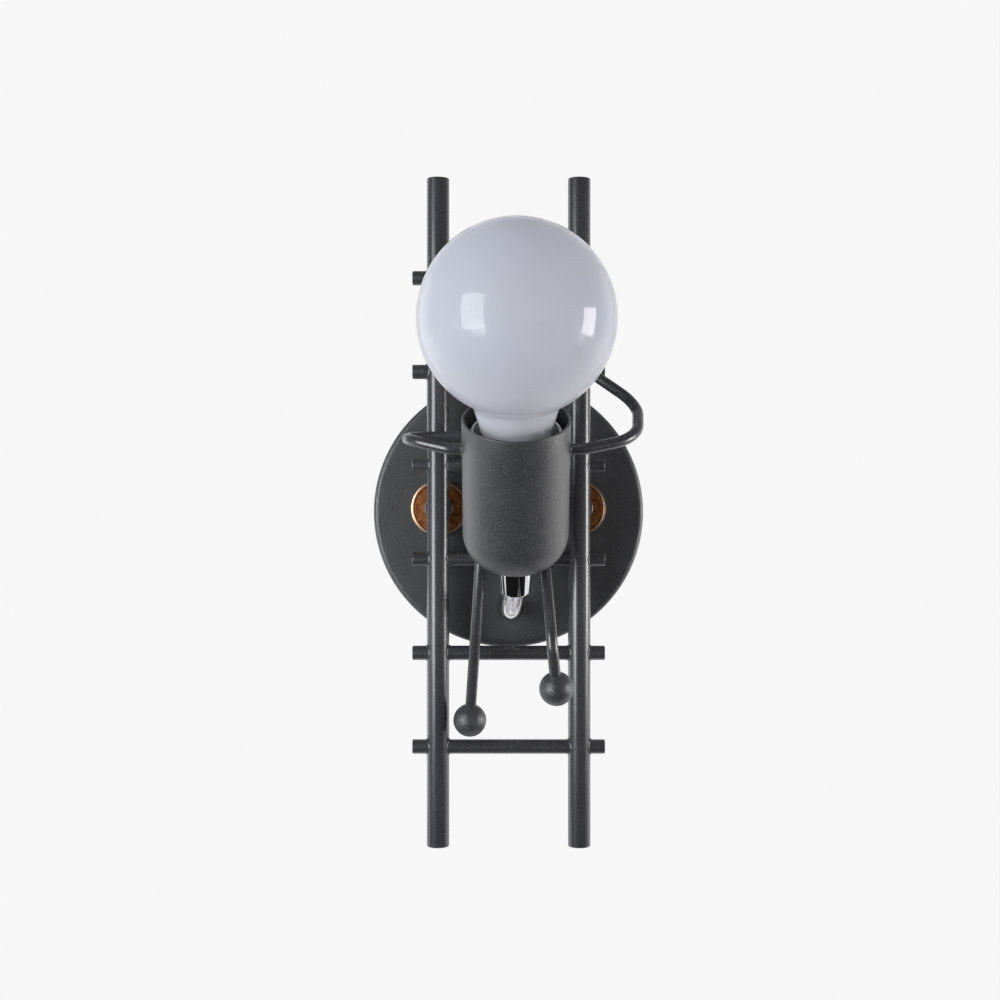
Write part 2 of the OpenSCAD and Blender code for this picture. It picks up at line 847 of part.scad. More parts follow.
module lead_sleeve() {
  pts = [
    from_figure([sleeve_shift, 0, sleeve_top_t]),
    from_figure([lead_shift, 0, sleeve_corner_t]),
    [lead_x, sleeve_in_y, lead_z],
  ];
  color([0.86, 0.86, 0.92, 0.5]) difference() {
    bent_rod(pts, [sleeve_bend], sleeve_d);
    bent_rod(pts, [sleeve_bend], sleeve_d - 2 * sleeve_t);
  }
}

module lead_wires() {
  color(white)
    for (s = [-1, 1])
      bent_rod(
        [
          from_figure([s * terminal_x, 0, socket_low_t - 4]),
          from_figure([s * terminal_x, 0, nipple_top_t + 2.6]),
          from_figure([s * wire_x, 0, nipple_top_t + 1.6]),
          from_figure([sleeve_shift + s * wire_x, 0, sleeve_top_t]),
          from_figure([lead_shift + s * wire_x, 0, sleeve_corner_t]),
          [lead_x + s * wire_x, sleeve_in_y + 0.4, lead_z],
          [block_x + s * pole_x, -block_out, lead_z],
          [block_x + s * pole_x, -block_out, block_z - 1],
        ],
        [1.6, 1.6, 6, sleeve_bend, 3, 3],
        wire_d
      );
}

// bulb

module bulb_globe() {
  color(opal) in_figure() translate([0, 0, bulb_t])
    rotate_extrude($fn = 128) difference() {
      intersection() {
        circle(bulb_r, $fn = 128);
        translate([0, join_t - bulb_t]) square([bulb_r + 1, 2 * bulb_r]);
      }
      circle(bulb_r - glass_t, $fn = 128);
    }
}

module bulb_neck() {
  outside = [
    [plug_r, plug_low_t],
    [plug_r, cap_top_t],
    [neck_low_r, cap_top_t + neck_foot],
    [neck_top_r, join_t],
  ];
  inside = [for (i = [3 : -1 : 0]) [outside[i].x - glass_t, outside[i].y]];
  color(opal) in_figure() rotate_extrude() polygon(concat(outside, inside));
}

module bulb_cap() {
  color(bright) in_figure()
    ring_shell(
      concat(
        [[cap_low_t, 9.6, 0], [cap_low_t + 0.4, 10.4, 0]],
        thread_rows(thread_low_t, thread_top_t, cap_r, thread_fade, -1),
        [[thread_top_t + 0.6, neck_low_r - 0.1, 0], [cap_top_t, neck_low_r - 0.1, 0]]
      ),
      [
        [cap_low_t, 8.6, 0],
        [thread_low_t, plug_r + 0.15, 0],
        [cap_top_t, plug_r + 0.15, 0],
      ]
    );
}

module bulb_insulator() {
  color(black) in_figure() rotate_extrude()
    polygon([
      [0, insulator_low_t],
      [5.2, insulator_low_t],
      [9.4, cap_low_t],
      [8.5, cap_low_t],
      [8.5, cap_low_t + 0.5],
      [0, cap_low_t + 0.5],
    ]);
}

module bulb_contact() {
  color(bright) in_figure()
    translate([0, 0, tip_t]) chamfered(contact_d, insulator_low_t - contact_gap - tip_t, 0.3);
}

module bulb_stem() {
  color([0.8, 0.85, 0.88, 0.6]) in_figure() rotate_extrude()
    polygon([
      [0, plug_low_t],
      [plug_r - glass_t, plug_low_t],
      [plug_r - glass_t, plug_low_t + 1],
      [4.5, cap_top_t + 4],
      [3.2, join_t + 10],
      [0.9, join_t + 13],
      [0.9, bulb_t + stem_head],
      [stem_r, bulb_t + stem_head],
      [stem_r, bulb_t + stem_head + stem_head_t],
      [0, bulb_t + stem_head + stem_head_t],
    ]);
}

module bulb_filaments() {
  low_t = join_t + filament_low;
  wire_t = low_t + 0.6;
  head_t = bulb_t + stem_head + stem_head_t / 2;
  top_t = bulb_t + stem_head + stem_head_t - 0.3;
  color([0.95, 0.8, 0.35]) in_figure()
    for (a = [45 : 90 : 315])
      rotate([0, 0, a]) {
        straight([stem_r + 0.2, 0, wire_t], [filament_low_x, 0, wire_t], stem_wire_d);
        straight([filament_low_x, 0, low_t], [filament_top_x, 0, top_t], filament_d);
        straight([stem_r, 0, head_t], [filament_top_x, 0, head_t], stem_wire_d);
      }
}

canopy();
wall_bracket();
canopy_side_screws();
earth_screw();
terminal_block();
terminal_inserts();
terminal_screws();
terminal_block_screw();
lead_grommet();
post_washer(-1);  // left_washer
post_washer(1);  // right_washer
post(-1);  // left_post
post(1);  // right_post
post_screws();
post_spring_washers();
rail(-1);  // left_rail
rail(1);  // right_rail
rung(1);  // rung_1
rung(2);  // rung_2
rung(3);  // rung_3
rung(4);  // rung_4
rung(5);  // rung_5
rung(6);  // rung_6
lamp_cup();
left_arm();
right_arm();
left_leg();
right_leg();
left_foot();
right_foot();
nipple();
gland_nut();
cup_lock_nut();
socket_yoke();
yoke_nut();
yoke_screws();
socket_body();
socket_shell();
socket_contact();
socket_rivets();
socket_terminals();
socket_terminal_screws();
lead_sleeve();
lead_wires();
bulb_globe();
bulb_neck();
bulb_cap();
bulb_insulator();
bulb_contact();
bulb_stem();
bulb_filaments();
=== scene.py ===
import json
from math import atan2, cos, degrees, radians, sin, sqrt, tan

import bmesh
import bpy
from mathutils import Matrix, Vector

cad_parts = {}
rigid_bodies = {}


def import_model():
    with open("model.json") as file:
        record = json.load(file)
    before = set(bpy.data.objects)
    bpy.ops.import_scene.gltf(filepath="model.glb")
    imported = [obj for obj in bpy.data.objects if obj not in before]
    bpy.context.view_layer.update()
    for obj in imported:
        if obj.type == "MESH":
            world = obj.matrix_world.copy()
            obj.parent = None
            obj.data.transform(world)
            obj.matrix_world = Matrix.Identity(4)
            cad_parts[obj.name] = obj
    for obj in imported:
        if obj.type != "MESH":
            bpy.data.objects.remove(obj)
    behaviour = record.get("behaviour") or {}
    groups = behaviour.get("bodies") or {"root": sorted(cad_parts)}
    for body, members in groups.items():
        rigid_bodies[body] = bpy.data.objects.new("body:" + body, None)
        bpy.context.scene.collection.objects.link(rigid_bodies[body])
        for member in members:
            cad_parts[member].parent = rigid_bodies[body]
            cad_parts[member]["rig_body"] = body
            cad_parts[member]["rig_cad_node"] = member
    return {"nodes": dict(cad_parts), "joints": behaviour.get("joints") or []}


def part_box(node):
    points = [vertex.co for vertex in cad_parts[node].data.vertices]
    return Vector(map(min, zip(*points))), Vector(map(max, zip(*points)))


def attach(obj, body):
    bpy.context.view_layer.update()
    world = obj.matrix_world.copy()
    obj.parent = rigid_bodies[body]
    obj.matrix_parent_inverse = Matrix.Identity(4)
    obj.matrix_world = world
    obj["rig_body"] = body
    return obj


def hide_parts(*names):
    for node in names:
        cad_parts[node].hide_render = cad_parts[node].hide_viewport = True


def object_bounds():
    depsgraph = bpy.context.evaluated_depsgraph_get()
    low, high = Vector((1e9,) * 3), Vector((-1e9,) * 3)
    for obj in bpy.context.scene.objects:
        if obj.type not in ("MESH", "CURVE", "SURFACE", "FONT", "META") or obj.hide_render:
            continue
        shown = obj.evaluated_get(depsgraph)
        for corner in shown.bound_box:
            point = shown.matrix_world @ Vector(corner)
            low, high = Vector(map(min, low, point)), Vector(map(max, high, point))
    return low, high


# metres; the wall is y = 0, the light stands out toward -y and z is up
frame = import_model()
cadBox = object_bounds()
nodes = frame["nodes"]
scene = bpy.context.scene
bpy.ops.object.select_all(action="DESELECT")
print("frame loaded with", len(nodes), "CAD nodes")

# places that the frame gives
turnJoint = next(j for j in frame["joints"] if j["name"] == "bulb_turn")
rimCentre = Vector(turnJoint["pos_m"])
cupAxis = Vector(turnJoint["axis"])
lean = atan2(-cupAxis.y, cupAxis.z)
# z runs up the cup from its rim
figureFrame = Matrix.Translation(rimCentre) @ Matrix.Rotation(lean, 4, "X")
wallFrame = Matrix.Rotation(radians(90), 4, "X")  # z comes out of the wall


def boxCentre(node):
    low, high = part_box(node)
    return (low + high) / 2


def boxSize(node):
    low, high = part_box(node)
    return high - low


def onFigure(x, y, t):
    return figureFrame @ Vector((x, y, t))


# ladder sizes, from the frame where it has them
ladder = {
    "railRadius": boxSize("left_rail").x / 2,
    "railX": boxCentre("right_rail").x,
    "y": boxCentre("left_rail").y,
    "rungRadius": boxSize("rung_1").z / 2,
    "rungCount": 6,
    "railChamfer": 0.0006,
    "rungChamfer": 0.0004,
}


# camera at the photograph's viewing point
view = {
    "spot": (-0.00385, -0.7358, 0.0055),
    "lens": 56.45,
    "sensor": 36,
    "near": 0.01,
}


def setCamera():
    bpy.ops.object.camera_add(location=view["spot"], rotation=(radians(90), 0, 0))
    camera = bpy.context.object
    camera.name = "photoCamera"
    camera.data.lens = view["lens"]
    camera.data.sensor_width = view["sensor"]
    camera.data.clip_start = view["near"]
    scene.camera = camera


setCamera()
print("camera set")


# small tools for modelling

def deselect():
    bpy.ops.object.select_all(action="DESELECT")


def startEdit():
    bpy.ops.object.mode_set(mode="EDIT")
    bpy.ops.mesh.select_mode(type="EDGE")
    bpy.ops.mesh.select_all(action="SELECT")


def endEdit():
    bpy.ops.object.mode_set(mode="OBJECT")
    return bpy.context.object


def pick(kind, test):
    bpy.ops.mesh.select_mode(type=kind)
    bpy.ops.mesh.select_all(action="DESELECT")
    shape = bmesh.from_edit_mesh(bpy.context.object.data)
    for item in {"VERT": shape.verts, "EDGE": shape.edges, "FACE": shape.faces}[kind]:
        if test(item):
            item.select_set(True)
    bmesh.update_edit_mesh(bpy.context.object.data)


def faceOutward():
    bpy.ops.mesh.select_all(action="SELECT")
    bpy.ops.mesh.normals_make_consistent(inside=False)


def nearHeight(z, slack=1e-6):
    return lambda edge: all(abs(v.co.z - z) < slack for v in edge.verts)


def arc(centre, radius, start, stop, count):
    # points after the first one, so that an arc can follow the point it starts from
    turns = [radians(start + (stop - start) * i / count) for i in range(1, count + 1)]
    return [(centre[0] + radius * cos(a), centre[1] + radius * sin(a)) for a in turns]


def turned(profile, sides=96, ring=False, domed=False):
    # a ring pulled along (radius, height) points, as on a lathe
    deselect()
    radius, height = profile[0]
    bpy.ops.mesh.primitive_circle_add(vertices=sides, radius=radius, location=(0, 0, height))
    bpy.ops.object.transform_apply(location=True)
    startEdit()
    for nextRadius, nextHeight in profile[1:]:
        bpy.ops.mesh.extrude_edges_move(TRANSFORM_OT_translate={"value": (0, 0, nextHeight - height)})
        grow = nextRadius / radius
        bpy.ops.transform.resize(value=(grow, grow, 1), center_override=(0, 0, nextHeight))
        radius, height = nextRadius, nextHeight
    if domed:
        bpy.ops.mesh.extrude_edges_move(TRANSFORM_OT_translate={"value": (0, 0, 0)})
        bpy.ops.mesh.merge(type="CENTER")
    if ring:
        bpy.ops.mesh.select_all(action="DESELECT")
        bpy.ops.mesh.select_non_manifold()
        bpy.ops.mesh.bridge_edge_loops()
    faceOutward()
    return endEdit()


def routeCorner(before, corner, after, bend):
    # start, pivot, axis, swing and end of the bend at a corner
    heading = (corner - before).normalized()
    leaving = (after - corner).normalized()
    swing = heading.angle(leaving)
    setback = bend * tan(swing / 2)
    inward = (leaving - heading * heading.dot(leaving)).normalized()
    axis = heading.cross(leaving).normalized()
    start = corner - heading * setback
    return start, start + inward * bend, axis, swing, corner + leaving * setback


def bentTube(route, bends, thickness, sides=32, bendStep=5):
    # a ring pushed along the straights and swung round the bends, open at both ends
    deselect()
    tilt = (route[1] - route[0]).to_track_quat("Z", "Y").to_euler()
    radius = thickness / 2
    bpy.ops.mesh.primitive_circle_add(vertices=sides, radius=radius, location=route[0], rotation=tilt)
    bpy.ops.object.transform_apply(location=True, rotation=True)
    startEdit()
    here = route[0]
    for before, corner, after, bend in zip(route, route[1:], route[2:], bends):
        start, pivot, axis, swing, stop = routeCorner(before, corner, after, bend)
        bpy.ops.mesh.extrude_edges_move(TRANSFORM_OT_translate={"value": start - here})
        steps = max(5, round(degrees(swing) / bendStep))
        bpy.ops.mesh.spin(steps=steps, angle=swing, center=pivot, axis=-axis)  # spin turns clockwise
        here = stop
    bpy.ops.mesh.extrude_edges_move(TRANSFORM_OT_translate={"value": route[-1] - here})
    bpy.ops.mesh.select_all(action="SELECT")
    bpy.ops.mesh.remove_doubles(threshold=1e-7)
    faceOutward()
    return endEdit()


def capEnds(chamfer):
    # closes an open tube and rounds its two end edges
    startEdit()
    bpy.ops.mesh.fill_holes(sides=0)
    pick("EDGE", lambda e: sorted(len(f.verts) > 4 for f in e.link_faces) == [False, True])
    bpy.ops.mesh.bevel(offset=chamfer, segments=3, affect="EDGES")
    faceOutward()
    return endEdit()


def bentRod(route, bends, thickness, chamfer=0.0004):
    bentTube(route, bends, thickness)
    return capEnds(chamfer)


def straightRod(start, stop, radius, chamfer, sides=64):
    deselect()
    run = stop - start
    bpy.ops.mesh.primitive_cylinder_add(
        vertices=sides,
        radius=radius,
        depth=run.length,
        location=(start + stop) / 2,
        rotation=run.to_track_quat("Z", "Y").to_euler(),
    )
    bpy.ops.object.transform_apply(location=True, rotation=True)
    startEdit()
    pick("EDGE", lambda e: any(len(f.verts) > 4 for f in e.link_faces))
    bpy.ops.mesh.bevel(offset=chamfer, segments=3, affect="EDGES")
    return endEdit()


def settle(piece, place):
    deselect()
    piece.select_set(True)
    bpy.context.view_layer.objects.active = piece
    piece.matrix_basis = place @ piece.matrix_basis
    bpy.ops.object.transform_apply(location=True, rotation=True, scale=True)
    return piece


def applyModifier(piece, kind, **values):
    modifier = piece.modifiers.new(kind.lower(), kind)
    for key, value in values.items():
        setattr(modifier, key, value)
    bpy.context.view_layer.objects.active = piece
    bpy.ops.object.modifier_apply(modifier=modifier.name)


def joinPieces(first, others):
    deselect()
    for piece in [first] + others:
        piece.select_set(True)
    bpy.context.view_layer.objects.active = first
    bpy.ops.object.join()
    return bpy.context.object


def cutWith(piece, cutter):
    applyModifier(piece, "BOOLEAN", operation="DIFFERENCE", solver="EXACT", object=cutter)
    bpy.data.objects.remove(cutter)


def fit(piece, name, finish, stoodFor=(), body="fixture", smooth=32):
    deselect()
    piece.select_set(True)
    bpy.context.view_layer.objects.active = piece
    piece.name = name
    piece.data.name = name
    piece.data.materials.clear()
    piece.data.materials.append(finish)
    bpy.ops.object.shade_smooth_by_angle(angle=radians(smooth))
    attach(piece, body)
    if stoodFor:
        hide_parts(*stoodFor)
    return piece


# finishes

def startFinish(name):
    finish = bpy.data.materials.new(name)
    finish.use_nodes = True
    tree = finish.node_tree
    return finish, tree, tree.nodes["Principled BSDF"]


def addNode(tree, kind, inputs=None, **settings):
    node = tree.nodes.new(kind)
    for key, value in settings.items():
        setattr(node, key, value)
    for key, value in (inputs or {}).items():
        node.inputs[key].default_value = value
    return node


def setSockets(shader, values):
    for key, value in values.items():
        shader.inputs[key].default_value = value


def addNoise(tree, scale, detail=3.0, roughness=0.55, stretch=(1, 1, 1)):
    where = addNode(tree, "ShaderNodeTexCoord")
    mapping = addNode(tree, "ShaderNodeMapping", {"Scale": stretch})
    noise = addNode(tree, "ShaderNodeTexNoise", {"Scale": scale, "Detail": detail, "Roughness": roughness})
    tree.links.new(where.outputs["Object"], mapping.inputs["Vector"])
    tree.links.new(mapping.outputs["Vector"], noise.inputs["Vector"])
    return noise.outputs["Fac"]


def addRange(tree, source, fromLow, fromHigh, toLow, toHigh):
    change = addNode(
        tree,
        "ShaderNodeMapRange",
        {"From Min": fromLow, "From Max": fromHigh, "To Min": toLow, "To Max": toHigh},
    )
    tree.links.new(source, change.inputs["Value"])
    return change.outputs["Result"]


surface = {
    "spread": (0.3, 0.7),  # where most of a noise's values lie
    "lineScale": 12,
    "lineHeight": 0.00005,
    "fineScale": 9,
    "fineHeight": 0.0001,
    "roughPlay": 0.2,
}


def addPatches(tree, scale, detail=3.0, roughness=0.55, spread=surface["spread"]):
    return addRange(tree, addNoise(tree, scale, detail, roughness), *spread, 0, 1)


def addBlend(tree, factor, first, second):
    blend = addNode(tree, "ShaderNodeMix", data_type="RGBA")
    tree.links.new(factor, blend.inputs["Factor"])
    for socket, value in ((blend.inputs[6], first), (blend.inputs[7], second)):
        if isinstance(value, tuple):
            socket.default_value = value
        else:
            tree.links.new(value, socket)
    return blend.outputs[2]


def addBump(tree, shader, height, strength, distance, under=None):
    bump = addNode(tree, "ShaderNodeBump", {"Strength": strength, "Distance": distance})
    tree.links.new(height, bump.inputs["Height"])
    if under:
        tree.links.new(under, bump.inputs["Normal"])
    tree.links.new(bump.outputs["Normal"], shader.inputs["Normal"])
    return bump.outputs["Normal"]


powder = {
    "speck": (0.095, 0.096, 0.103, 1),
    "speckFrom": (0.50, 0.72),
    "patchScale": 40.0,
    "patchSpread": (0.35, 0.65),
    "grainScale": 1500.0,
    "grainBump": 0.6,
    "sandScale": 3200.0,
    "sandBump": 0.3,
    "shine": 1.0,
    "sanded": {
        "dark": (0.036, 0.0365, 0.0405, 1),
        "light": (0.046, 0.0465, 0.051, 1),
        "height": 0.00030,
        "rough": (0.34, 0.46),
        "specks": 0.9,
    },
    "satin": {
        "dark": (0.040, 0.0395, 0.046, 1),
        "light": (0.049, 0.0485, 0.056, 1),
        "height": 0.000018,
        "rough": (0.25, 0.29),
        "specks": 0.1,
    },
}


def powderFinish(kind):
    finish, tree, shader = startFinish(kind + "PowderCoat")
    coat = powder[kind]
    patches = addPatches(tree, powder["patchScale"], spread=powder["patchSpread"])
    ground = addBlend(tree, patches, coat["dark"], coat["light"])
    grain = addNoise(tree, powder["grainScale"], detail=2.0)
    sand = addNoise(tree, powder["sandScale"], detail=1.0)
    specks = addRange(tree, grain, *powder["speckFrom"], 0, coat["specks"])
    colour = addBlend(tree, specks, ground, powder["speck"])
    tree.links.new(colour, shader.inputs["Base Color"])
    rough = addRange(tree, grain, *surface["spread"], *coat["rough"])
    tree.links.new(rough, shader.inputs["Roughness"])
    coarse = addBump(tree, shader, grain, powder["grainBump"], coat["height"])
    addBump(tree, shader, sand, powder["sandBump"], coat["height"] / 2, coarse)
    setSockets(shader, {"Specular IOR Level": powder["shine"]})
    return finish


opal = {
    "cool": (0.775, 0.795, 0.865, 1),
    "warm": (0.800, 0.812, 0.865, 1),
    # painted light: the whiter tone painted on the neck, offsetting its shade
    "thick": (0.955, 0.965, 1.0, 1),
    "paintedNeckLightFrom": (0.022, -0.008),
    "cloudScale": 18.0,
    "waveScale": 55.0,
    "waveHeight": 0.0003,
    "waveBump": 0.06,
    "milkScale": 165.0,
    "rough": (0.9, 1.0),
}


def opalFinish():
    finish, tree, shader = startFinish("opalGlass")
    body = addBlend(tree, addPatches(tree, opal["cloudScale"]), opal["cool"], opal["warm"])
    # painted light: the neck is painted whiter towards the cup's rim, to offset the shade that the cup and
    # the globe cast on it
    where = addNode(tree, "ShaderNodeTexCoord")
    rise = addNode(tree, "ShaderNodeVectorMath", {1: cupAxis}, operation="DOT_PRODUCT")
    tree.links.new(where.outputs["Object"], rise.inputs[0])
    rimRise = rimCentre.dot(cupAxis)
    high, low = opal["paintedNeckLightFrom"]
    neck = addRange(tree, rise.outputs["Value"], rimRise + low, rimRise + high, 1, 0)
    tree.links.new(addBlend(tree, neck, body, opal["thick"]), shader.inputs["Base Color"])
    milk = addRange(tree, addNoise(tree, opal["milkScale"]), *surface["spread"], *opal["rough"])
    tree.links.new(milk, shader.inputs["Roughness"])
    addBump(tree, shader, addNoise(tree, opal["waveScale"]), opal["waveBump"], opal["waveHeight"])
    setSockets(
        shader,
        {
            "IOR": 1.52,
            "Transmission Weight": 0.55,
            "Coat Weight": 0.6,
            "Coat Roughness": 0.04,
        },
    )
    return finish


metals = {
    "chrome": {
        "name": "polishedChrome",
        "tones": ((0.72, 0.72, 0.74, 1), (0.80, 0.80, 0.82, 1)),
        "rough": (0.03, 0.07),
        "scale": 60,
        "stretch": (1, 1, 0.1),
        "scratch": 0.02,
    },
    "zinc": {
        "name": "zincSteel",
        "tones": ((0.46, 0.47, 0.48, 1), (0.62, 0.63, 0.64, 1)),
        "rough": (0.26, 0.42),
        "scale": 90,
        "stretch": (0.15, 1, 1),
        "scratch": 0.08,
    },
    "brass": {
        "name": "pressedBrass",
        "tones": ((0.60, 0.42, 0.17, 1), (0.74, 0.56, 0.27, 1)),
        "rough": (0.2, 0.34),
        "scale": 120,
        "stretch": (1, 1, 0.2),
        "scratch": 0.08,
    },
    "nickel": {
        "name": "nickelCap",
        "tones": ((0.60, 0.60, 0.60, 1), (0.74, 0.74, 0.74, 1)),
        "rough": (0.16, 0.28),
        "scale": 120,
        "stretch": (1, 1, 0.2),
        "scratch": 0.08,
    },
}


def metalFinish(metal):
    # plated or bare metal: two tones in patches, and fine lines along one direction
    finish, tree, shader = startFinish(metal["name"])
    patches = addPatches(tree, metal["scale"], detail=4.0)
    tree.links.new(addBlend(tree, patches, *metal["tones"]), shader.inputs["Base Color"])
    lines = addNoise(tree, metal["scale"] * surface["lineScale"], 2.0, 0.6, metal["stretch"])
    tree.links.new(addRange(tree, lines, *surface["spread"], *metal["rough"]), shader.inputs["Roughness"])
    addBump(tree, shader, lines, metal["scratch"], surface["lineHeight"])
    setSockets(shader, {"Metallic": 1.0})
    return finish


copper = {
    "bright": (0.68, 0.285, 0.110, 1),
    "brown": (0.26, 0.075, 0.025, 1),
    "worn": (0.68, 0.47, 0.32, 1),
    "wornFrom": (0.0114, 0.0118),
    "rough": (0.5, 0.42),
    "ringScale": 900.0,
    "ringBump": 0.22,
    "ringHeight": 0.00006,
    "mottleScale": 520.0,
    "mottleSpread": (0.38, 0.62),
}


def copperFinish(name, centre):
    # faced on a lathe: fine rings about the washer's own centre, browned in patches
    finish, tree, shader = startFinish(name)
    where = addNode(tree, "ShaderNodeTexCoord")
    middle = (-centre.x, 0, -centre.z)
    mapping = addNode(tree, "ShaderNodeMapping", {"Location": middle, "Scale": (1, 0, 1)})
    tree.links.new(where.outputs["Object"], mapping.inputs["Vector"])
    rings = addNode(
        tree,
        "ShaderNodeTexWave",
        {"Scale": copper["ringScale"], "Distortion": 1.5, "Detail": 2.0, "Detail Scale": 3.0},
        wave_type="RINGS",
        rings_direction="SPHERICAL",
    )
    tree.links.new(mapping.outputs["Vector"], rings.inputs["Vector"])
    reach = addNode(tree, "ShaderNodeVectorMath", operation="LENGTH")
    tree.links.new(mapping.outputs["Vector"], reach.inputs[0])
    worn = addRange(tree, reach.outputs["Value"], *copper["wornFrom"], 0, 1)
    mottle = addPatches(tree, copper["mottleScale"], 5.0, 0.7, copper["mottleSpread"])
    plate = addBlend(tree, mottle, copper["brown"], copper["bright"])
    tree.links.new(addBlend(tree, worn, plate, copper["worn"]), shader.inputs["Base Color"])
    tree.links.new(addRange(tree, worn, 0, 1, *copper["rough"]), shader.inputs["Roughness"])
    addBump(tree, shader, rings.outputs["Fac"], copper["ringBump"], copper["ringHeight"])
    setSockets(shader, {"Metallic": 1.0})
    return finish


coats = {
    "porcelain": {
        "name": "glazedPorcelain",
        "tones": ((0.93, 0.93, 0.89, 1), (0.89, 0.89, 0.85, 1)),
        "rough": 0.14,
        "scale": 150,
        "bump": 0.05,
        "sockets": {"Coat Weight": 0.4},
    },
    "polyamide": {
        "name": "naturalPolyamide",
        "tones": ((0.80, 0.79, 0.75, 1), (0.73, 0.72, 0.68, 1)),
        "rough": 0.45,
        "scale": 200,
        "bump": 0.1,
    },
    "rubber": {
        "name": "blackRubber",
        "tones": ((0.022, 0.022, 0.022, 1), (0.035, 0.035, 0.035, 1)),
        "rough": 0.6,
        "scale": 300,
        "bump": 0.2,
    },
    "insulation": {
        "name": "wireInsulation",
        "tones": ((0.90, 0.89, 0.93, 1), (0.84, 0.83, 0.87, 1)),
        "rough": 0.3,
        "scale": 260,
        "bump": 0.05,
    },
    "vitrite": {
        "name": "blackVitrite",
        "tones": ((0.012, 0.012, 0.014, 1), (0.022, 0.022, 0.024, 1)),
        "rough": 0.12,
        "scale": 260,
        "bump": 0.08,
    },
    "phosphor": {
        "name": "phosphorCoat",
        "tones": ((0.86, 0.62, 0.17, 1), (0.78, 0.52, 0.12, 1)),
        "rough": 0.55,
        "scale": 500,
        "bump": 0.2,
    },
    "vinyl": {
        "name": "clearVinyl",
        "tones": ((0.99, 0.98, 1.0, 1), (0.96, 0.95, 0.99, 1)),
        "rough": 0.03,
        "scale": 60,
        "bump": 0.01,
        "sockets": {"Transmission Weight": 0.94, "IOR": 1.5, "Coat Weight": 0.5},
    },
    "stemGlass": {
        "name": "stemGlass",
        "tones": ((0.92, 0.95, 0.96, 1), (0.88, 0.92, 0.93, 1)),
        "rough": 0.05,
        "scale": 140,
        "bump": 0.05,
        "sockets": {"Transmission Weight": 1.0, "IOR": 1.5},
    },
}


def coatedFinish(coat):
    # plain moulded, fired or clear surface: two close tones and a slight unevenness
    finish, tree, shader = startFinish(coat["name"])
    patches = addPatches(tree, coat["scale"])
    tree.links.new(addBlend(tree, patches, *coat["tones"]), shader.inputs["Base Color"])
    fine = addNoise(tree, coat["scale"] * surface["fineScale"], 2.0)
    smoother = coat["rough"] * (1 - surface["roughPlay"])
    rougher = coat["rough"] * (1 + surface["roughPlay"])
    tree.links.new(addRange(tree, fine, *surface["spread"], smoother, rougher), shader.inputs["Roughness"])
    addBump(tree, shader, fine, coat["bump"], surface["fineHeight"])
    setSockets(shader, coat.get("sockets", {}))
    return finish


# painted shade for the inside of the socket's mouth
paintedMouthShade = {
    "colour": (0.20, 0.195, 0.185, 1),
    "rim": 0.0012,
    "depth": 0.028,
    "fade": 0.0001,
}


def paintMouthShade(finish):
    # painted shade: the ceramic is painted dark inside its mouth, where the gap round the bulb's neck lies
    # in shade
    tree = finish.node_tree
    colour = tree.nodes["Principled BSDF"].inputs["Base Color"]
    glaze = colour.links[0].from_socket
    where = addNode(tree, "ShaderNodeTexCoord")
    mapping = addNode(
        tree, "ShaderNodeMapping", {"Location": rimCentre, "Rotation": (lean, 0, 0)}, vector_type="TEXTURE"
    )
    flat = addNode(tree, "ShaderNodeVectorMath", {1: (1, 1, 0)}, operation="MULTIPLY")
    reach = addNode(tree, "ShaderNodeVectorMath", operation="LENGTH")
    split = addNode(tree, "ShaderNodeSeparateXYZ")
    both = addNode(tree, "ShaderNodeMath", operation="MULTIPLY")
    tree.links.new(where.outputs["Object"], mapping.inputs["Vector"])
    tree.links.new(mapping.outputs["Vector"], flat.inputs[0])
    tree.links.new(flat.outputs["Vector"], reach.inputs[0])
    tree.links.new(mapping.outputs["Vector"], split.inputs["Vector"])
    bore = boxSize("socket_body").x / 2 - paintedMouthShade["rim"]
    fade, depth = paintedMouthShade["fade"], -paintedMouthShade["depth"]
    inside = addRange(tree, reach.outputs["Value"], bore - fade, bore + fade, 1, 0)
    above = addRange(tree, split.outputs["Z"], depth - fade, depth + fade, 0, 1)
    tree.links.new(inside, both.inputs[0])
    tree.links.new(above, both.inputs[1])
    tree.links.new(addBlend(tree, both.outputs["Value"], glaze, paintedMouthShade["colour"]), colour)


finishes = {
    "sanded": powderFinish("sanded"),
    "satin": powderFinish("satin"),
    "opal": opalFinish(),
}
finishes.update({key: metalFinish(metal) for key, metal in metals.items()})
finishes.update({key: coatedFinish(coat) for key, coat in coats.items()})
# paints shade inside the socket's mouth
paintMouthShade(finishes["porcelain"])
print("finishes made:", len(finishes))


# wall side

canopy = {
    "wall": 0.001,
    "edge": 0.0025,
    "rimRound": 0.0003,
    "postHole": 0.00265,
    "sideHole": 0.00215,
    "leadHole": 0.0053,
    "faceRings": (0.9, 0.6, 0.3, 0.05),
    "sides": 192,
}


def holeCutter(spot, axis, radius, depth=0.012):
    deselect()
    bpy.ops.mesh.primitive_cylinder_add(
        vertices=48,
        radius=radius,
        depth=depth,
        location=spot,
        rotation=Vector(axis).to_track_quat("Z", "Y").to_euler(),
    )
    return bpy.context.object


